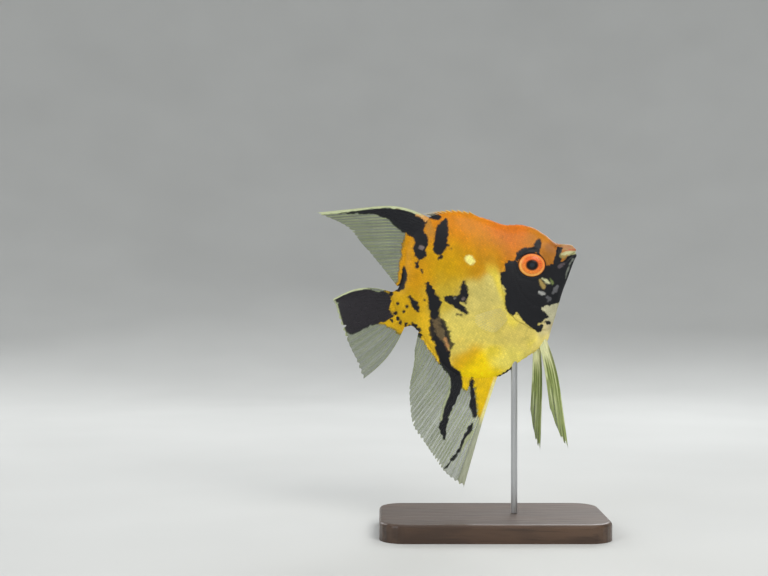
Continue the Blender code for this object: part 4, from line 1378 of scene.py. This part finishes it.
def fin_coat(name, pitch=0.00105, row_gap=0.00072, clear=0.00003, tip=0.10, near=12):
    """Scales on both faces of a fin, in rows whose gap is measured a few steps from its root."""
    fin, sheet = FINS[name], SHEETS[name]
    rows = int(np.hypot(*np.diff(sheet.level[:, near, :2], axis=0).T).sum() * LENGTH / row_gap)
    across, along = [], []
    for row in range(rows):
        share = (row + 0.5) / rows
        reach = np.interp(share, np.linspace(0, 1, len(sheet.lengths)), sheet.lengths[:, 0]) * LENGTH
        spots = np.arange(pitch * (0.5 + 0.5 * (row % 2)), 0.6 * reach, pitch) / reach
        across += [share] * len(spots)
        along += spots.tolist()
    across, along = np.array(across), np.array(along)
    ours = is_scaly(name, across, along, sheet.at(across, along))
    across, along = across[ours], along[ours]
    level = sheet.at(across, along)
    colour = fin_scheme(name, across, along, level)[0]
    half = mix(fin.root, fin.edge, smooth(along, 0.0, THIN_FROM)) / 2
    size = mix(1.0, 0.6, smooth(along, 0.05, 0.4))[:, None] * np.ones(3)
    coats = []
    dice = np.random.default_rng(17)
    for face in (-1, 1):
        here = sheet.points(across, along, face * (half + clear))
        ahead = sheet.points(across, along + 0.02, face * half) - here
        outwards = unit(here - sheet.points(across, along))
        lie = lie_of(ahead, outwards, tip + dice.normal(0, 0.02, len(across)))
        root = unwrapped(level[:, 0], level[:, 1], np.full(len(across), face))
        coats.append((here, lie, size, root, colour * (1 + dice.normal(0, 0.06, len(across)))[:, None]))
    points, *kept = map(np.concatenate, zip(*coats))
    made = mesh_object(name + "_scales", points)
    for label, values in zip(("lie", "size", "root", "tint"), kept):
        store(made, label, values)
    cover_with_scales(made, **FIN_SCALE)


for name in ("fin_dorsal", "fin_anal", "fin_tail"):
    fin_coat(name)

# %% [markdown]
# ## The rays
# Rays are lines that Geometry Nodes turn into tapering tubes. A soft ray forks twice on its way to the
# edge. A spine doesn't, and runs out to a sharp point.

# %% The tree that draws the rays
def ray_tree():
    tree = Tree("draw_rays", Thickness=0.00016, Sides=6, Finish="Material")
    curve = tree.node("GeometryNodeMeshToCurve", tree.source["Geometry"]).outputs[0]
    girth = tree.math("MULTIPLY", tree.named("girth", "FLOAT"), tree.source["Thickness"])
    sides = tree.source["Sides"]
    ring = tree.node("GeometryNodeCurvePrimitiveCircle", Radius=1.0, Resolution=sides).outputs[0]
    tube = tree.node("GeometryNodeCurveToMesh", Curve=curve, Profile_Curve=ring, Scale=girth, Fill_Caps=True)
    return tree.finish(tube.outputs[0])


draw_rays = ray_tree()
FORKS = [(0.00, 0.42, 1), (0.42, 0.72, 2), (0.72, 1.00, 4)]  # from, to, number of branches
FORK_WIDTH = 0.62  # how much of the gap between two rays the branches of one fill
STEPS = 46  # points along a whole ray
THIN_TIP, SPINE_GIRTH, BLUNT_TIP = 0.34, 1.45, 0.12  # shares of a ray's girth


def ray_lines(name):
    """Every branch of every ray: places across and along the fin, and how thick it is there."""
    fin, lines = FINS[name], []

    def spread(number, count):
        return (number - (count - 1) / 2) / count * FORK_WIDTH / (fin.rays - 1)

    for ray in range(fin.rays):
        spine = ray < fin.spines
        for low, high, branches in [(0.0, 1.0, 1)] if spine else FORKS:
            along = np.linspace(low, high, max(int(STEPS * (high - low)), 8) + 1)
            girth = mix(1.0, THIN_TIP, along**0.8) * (SPINE_GIRTH if spine else branches**-0.25)
            if spine:
                girth = girth * np.clip((1 - along) * 9, BLUNT_TIP, 1)
            for branch in range(branches):
                before, now = spread(branch // 2, max(branches // 2, 1)), spread(branch, branches)
                across = ray / (fin.rays - 1) + mix(before, now, smooth((along - low) / (high - low), 0, 0.5))
                lines.append((np.clip(across, 0.004, 0.996), along * 0.995, girth))
    return lines


def draw(name):
    """The rays of a fin as one piece; those of a pectoral fin keep its colour and fade out."""
    lines, sheet = ray_lines(name), SHEETS[name]
    across, along, girth = (np.concatenate(column) for column in zip(*lines))
    ends = np.cumsum([len(line[0]) for line in lines]) - 1
    first = np.setdiff1d(np.arange(len(across)), ends)
    links = np.stack([first, first + 1], axis=1).tolist()
    made = mesh_object(name + "_rays", sheet.points(across, along), edges=links)
    colour, solid = fin_scheme(name, across, along, sheet.at(across, along))
    if "pectoral" in name:
        tone, solid = colour * 0.95, mix(1.0, 0.40, smooth(along, 0.0, 0.2))
    else:
        tone, solid = mix(colour * 0.95, RAY_TINT, 1 - smooth(solid, 0.45, 0.85)[:, None]), solid * 0 + 1
    for label, values in (("tint", tone), ("solid", solid), ("girth", girth), ("along", along * 100)):
        store(made, label, values)
    grown(draw_rays, made, Finish=ray_look, Thickness=FINS[name].girth)
    made.data.polygons.foreach_set("use_smooth", [True] * len(made.data.polygons))
    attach(made, "root")
    print(made.name, len(lines), "branches,", len(made.data.polygons), "faces")


# %% [markdown]
# Soft rays are jointed, like a stack of beads. The joints show as fine darker bands across each ray.

# %% The ray finish
def ray_finish():
    made = Finish("fin_ray", Coat_Weight=0.05, Coat_Roughness=0.15, Specular_IOR_Level=0.20)
    along = made.node("CombineXYZ", made.attribute("along")).outputs[0]
    joints = made.waves("X", Vector=along, Scale=1.2, Distortion=0.4)
    bands, grain = made.span(joints, 0.0, 0.3, 0.84, 1.0), made.spread(made.grain(1400, 3), 0.9, 1.1)
    return made.end(Base_Color=made.tinted(made.math("MULTIPLY", bands, grain)),
                    Roughness=made.spread(made.grain(1800, 2), 0.28, 0.42), Alpha=made.attribute("solid"),
                    Normal=made.bump(joints, 0.25, 0.00005))


ray_look = ray_finish()
for name in SHEETS:
    draw(name)

# %% [markdown]
# ## The stand
# The board and the rod of the solid model already have the right shape, so they keep it and only get better
# finishes: dark oiled wood with long grain, and brushed steel.

# %% The stand
def wood_finish():
    made = Finish("oiled_walnut", Coat_Weight=0.35, Coat_Roughness=0.22, Specular_IOR_Level=0.45)
    figure, pores = made.grain(26, 5, 0.55, (0.22, 1.6, 1.6)), made.grain(900, 3, 0.6, (0.05, 1, 1))
    board = made.place((0.25, 1, 1))
    bands = made.waves("Y", Vector=board, Scale=70.0, Distortion=9.0, Detail=3.0, Detail_Scale=0.8)
    tone = made.blend("MIX", made.spread(figure, 0, 1), (0.050, 0.024, 0.012, 1), (0.105, 0.055, 0.028, 1))
    tone = made.blend("MULTIPLY", made.span(bands, 0.2, 0.9, 0.0, 0.55), tone, (0.45, 0.38, 0.33, 1))
    tone = made.blend("MULTIPLY", made.span(pores, 0.55, 0.68, 0.0, 0.6), tone, (0.35, 0.30, 0.26, 1))
    return made.end(Base_Color=tone, Roughness=made.spread(pores, 0.34, 0.52),
                    Normal=made.bump(pores, 0.35, 0.0001, Normal=made.bump(bands, 0.15, 0.0001)))


def steel_finish():
    made = Finish("brushed_steel", Metallic=1.0, Specular_IOR_Level=0.5)
    brush = made.grain(900, 3, 0.6, (1, 1, 0.03))
    tone = made.blend("MIX", made.spread(brush, 0, 1), (0.42, 0.43, 0.44, 1), (0.60, 0.61, 0.62, 1))
    return made.end(Base_Color=tone, Roughness=made.spread(brush, 0.24, 0.40),
                    Normal=made.bump(brush, 0.2, 0.00005))


def floor_finish():
    made = Finish("pale_paper", Roughness=0.9, Specular_IOR_Level=0.2)
    tone = made.blend("MULTIPLY", 1.0, (0.60, 0.61, 0.60, 1), made.spread(made.grain(6, 2), 0.97, 1.03))
    return made.end(Base_Color=tone)


floor.data.materials.append(floor_finish())
for node, look in (("stand_base", wood_finish()), ("stand_rod", steel_finish())):
    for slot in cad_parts[node].material_slots:
        slot.material = look
print("stand finished")

# %% [markdown]
# ## Tidying up
# The template scale goes.

# %% Tidying up
bpy.data.objects.remove(one_scale)
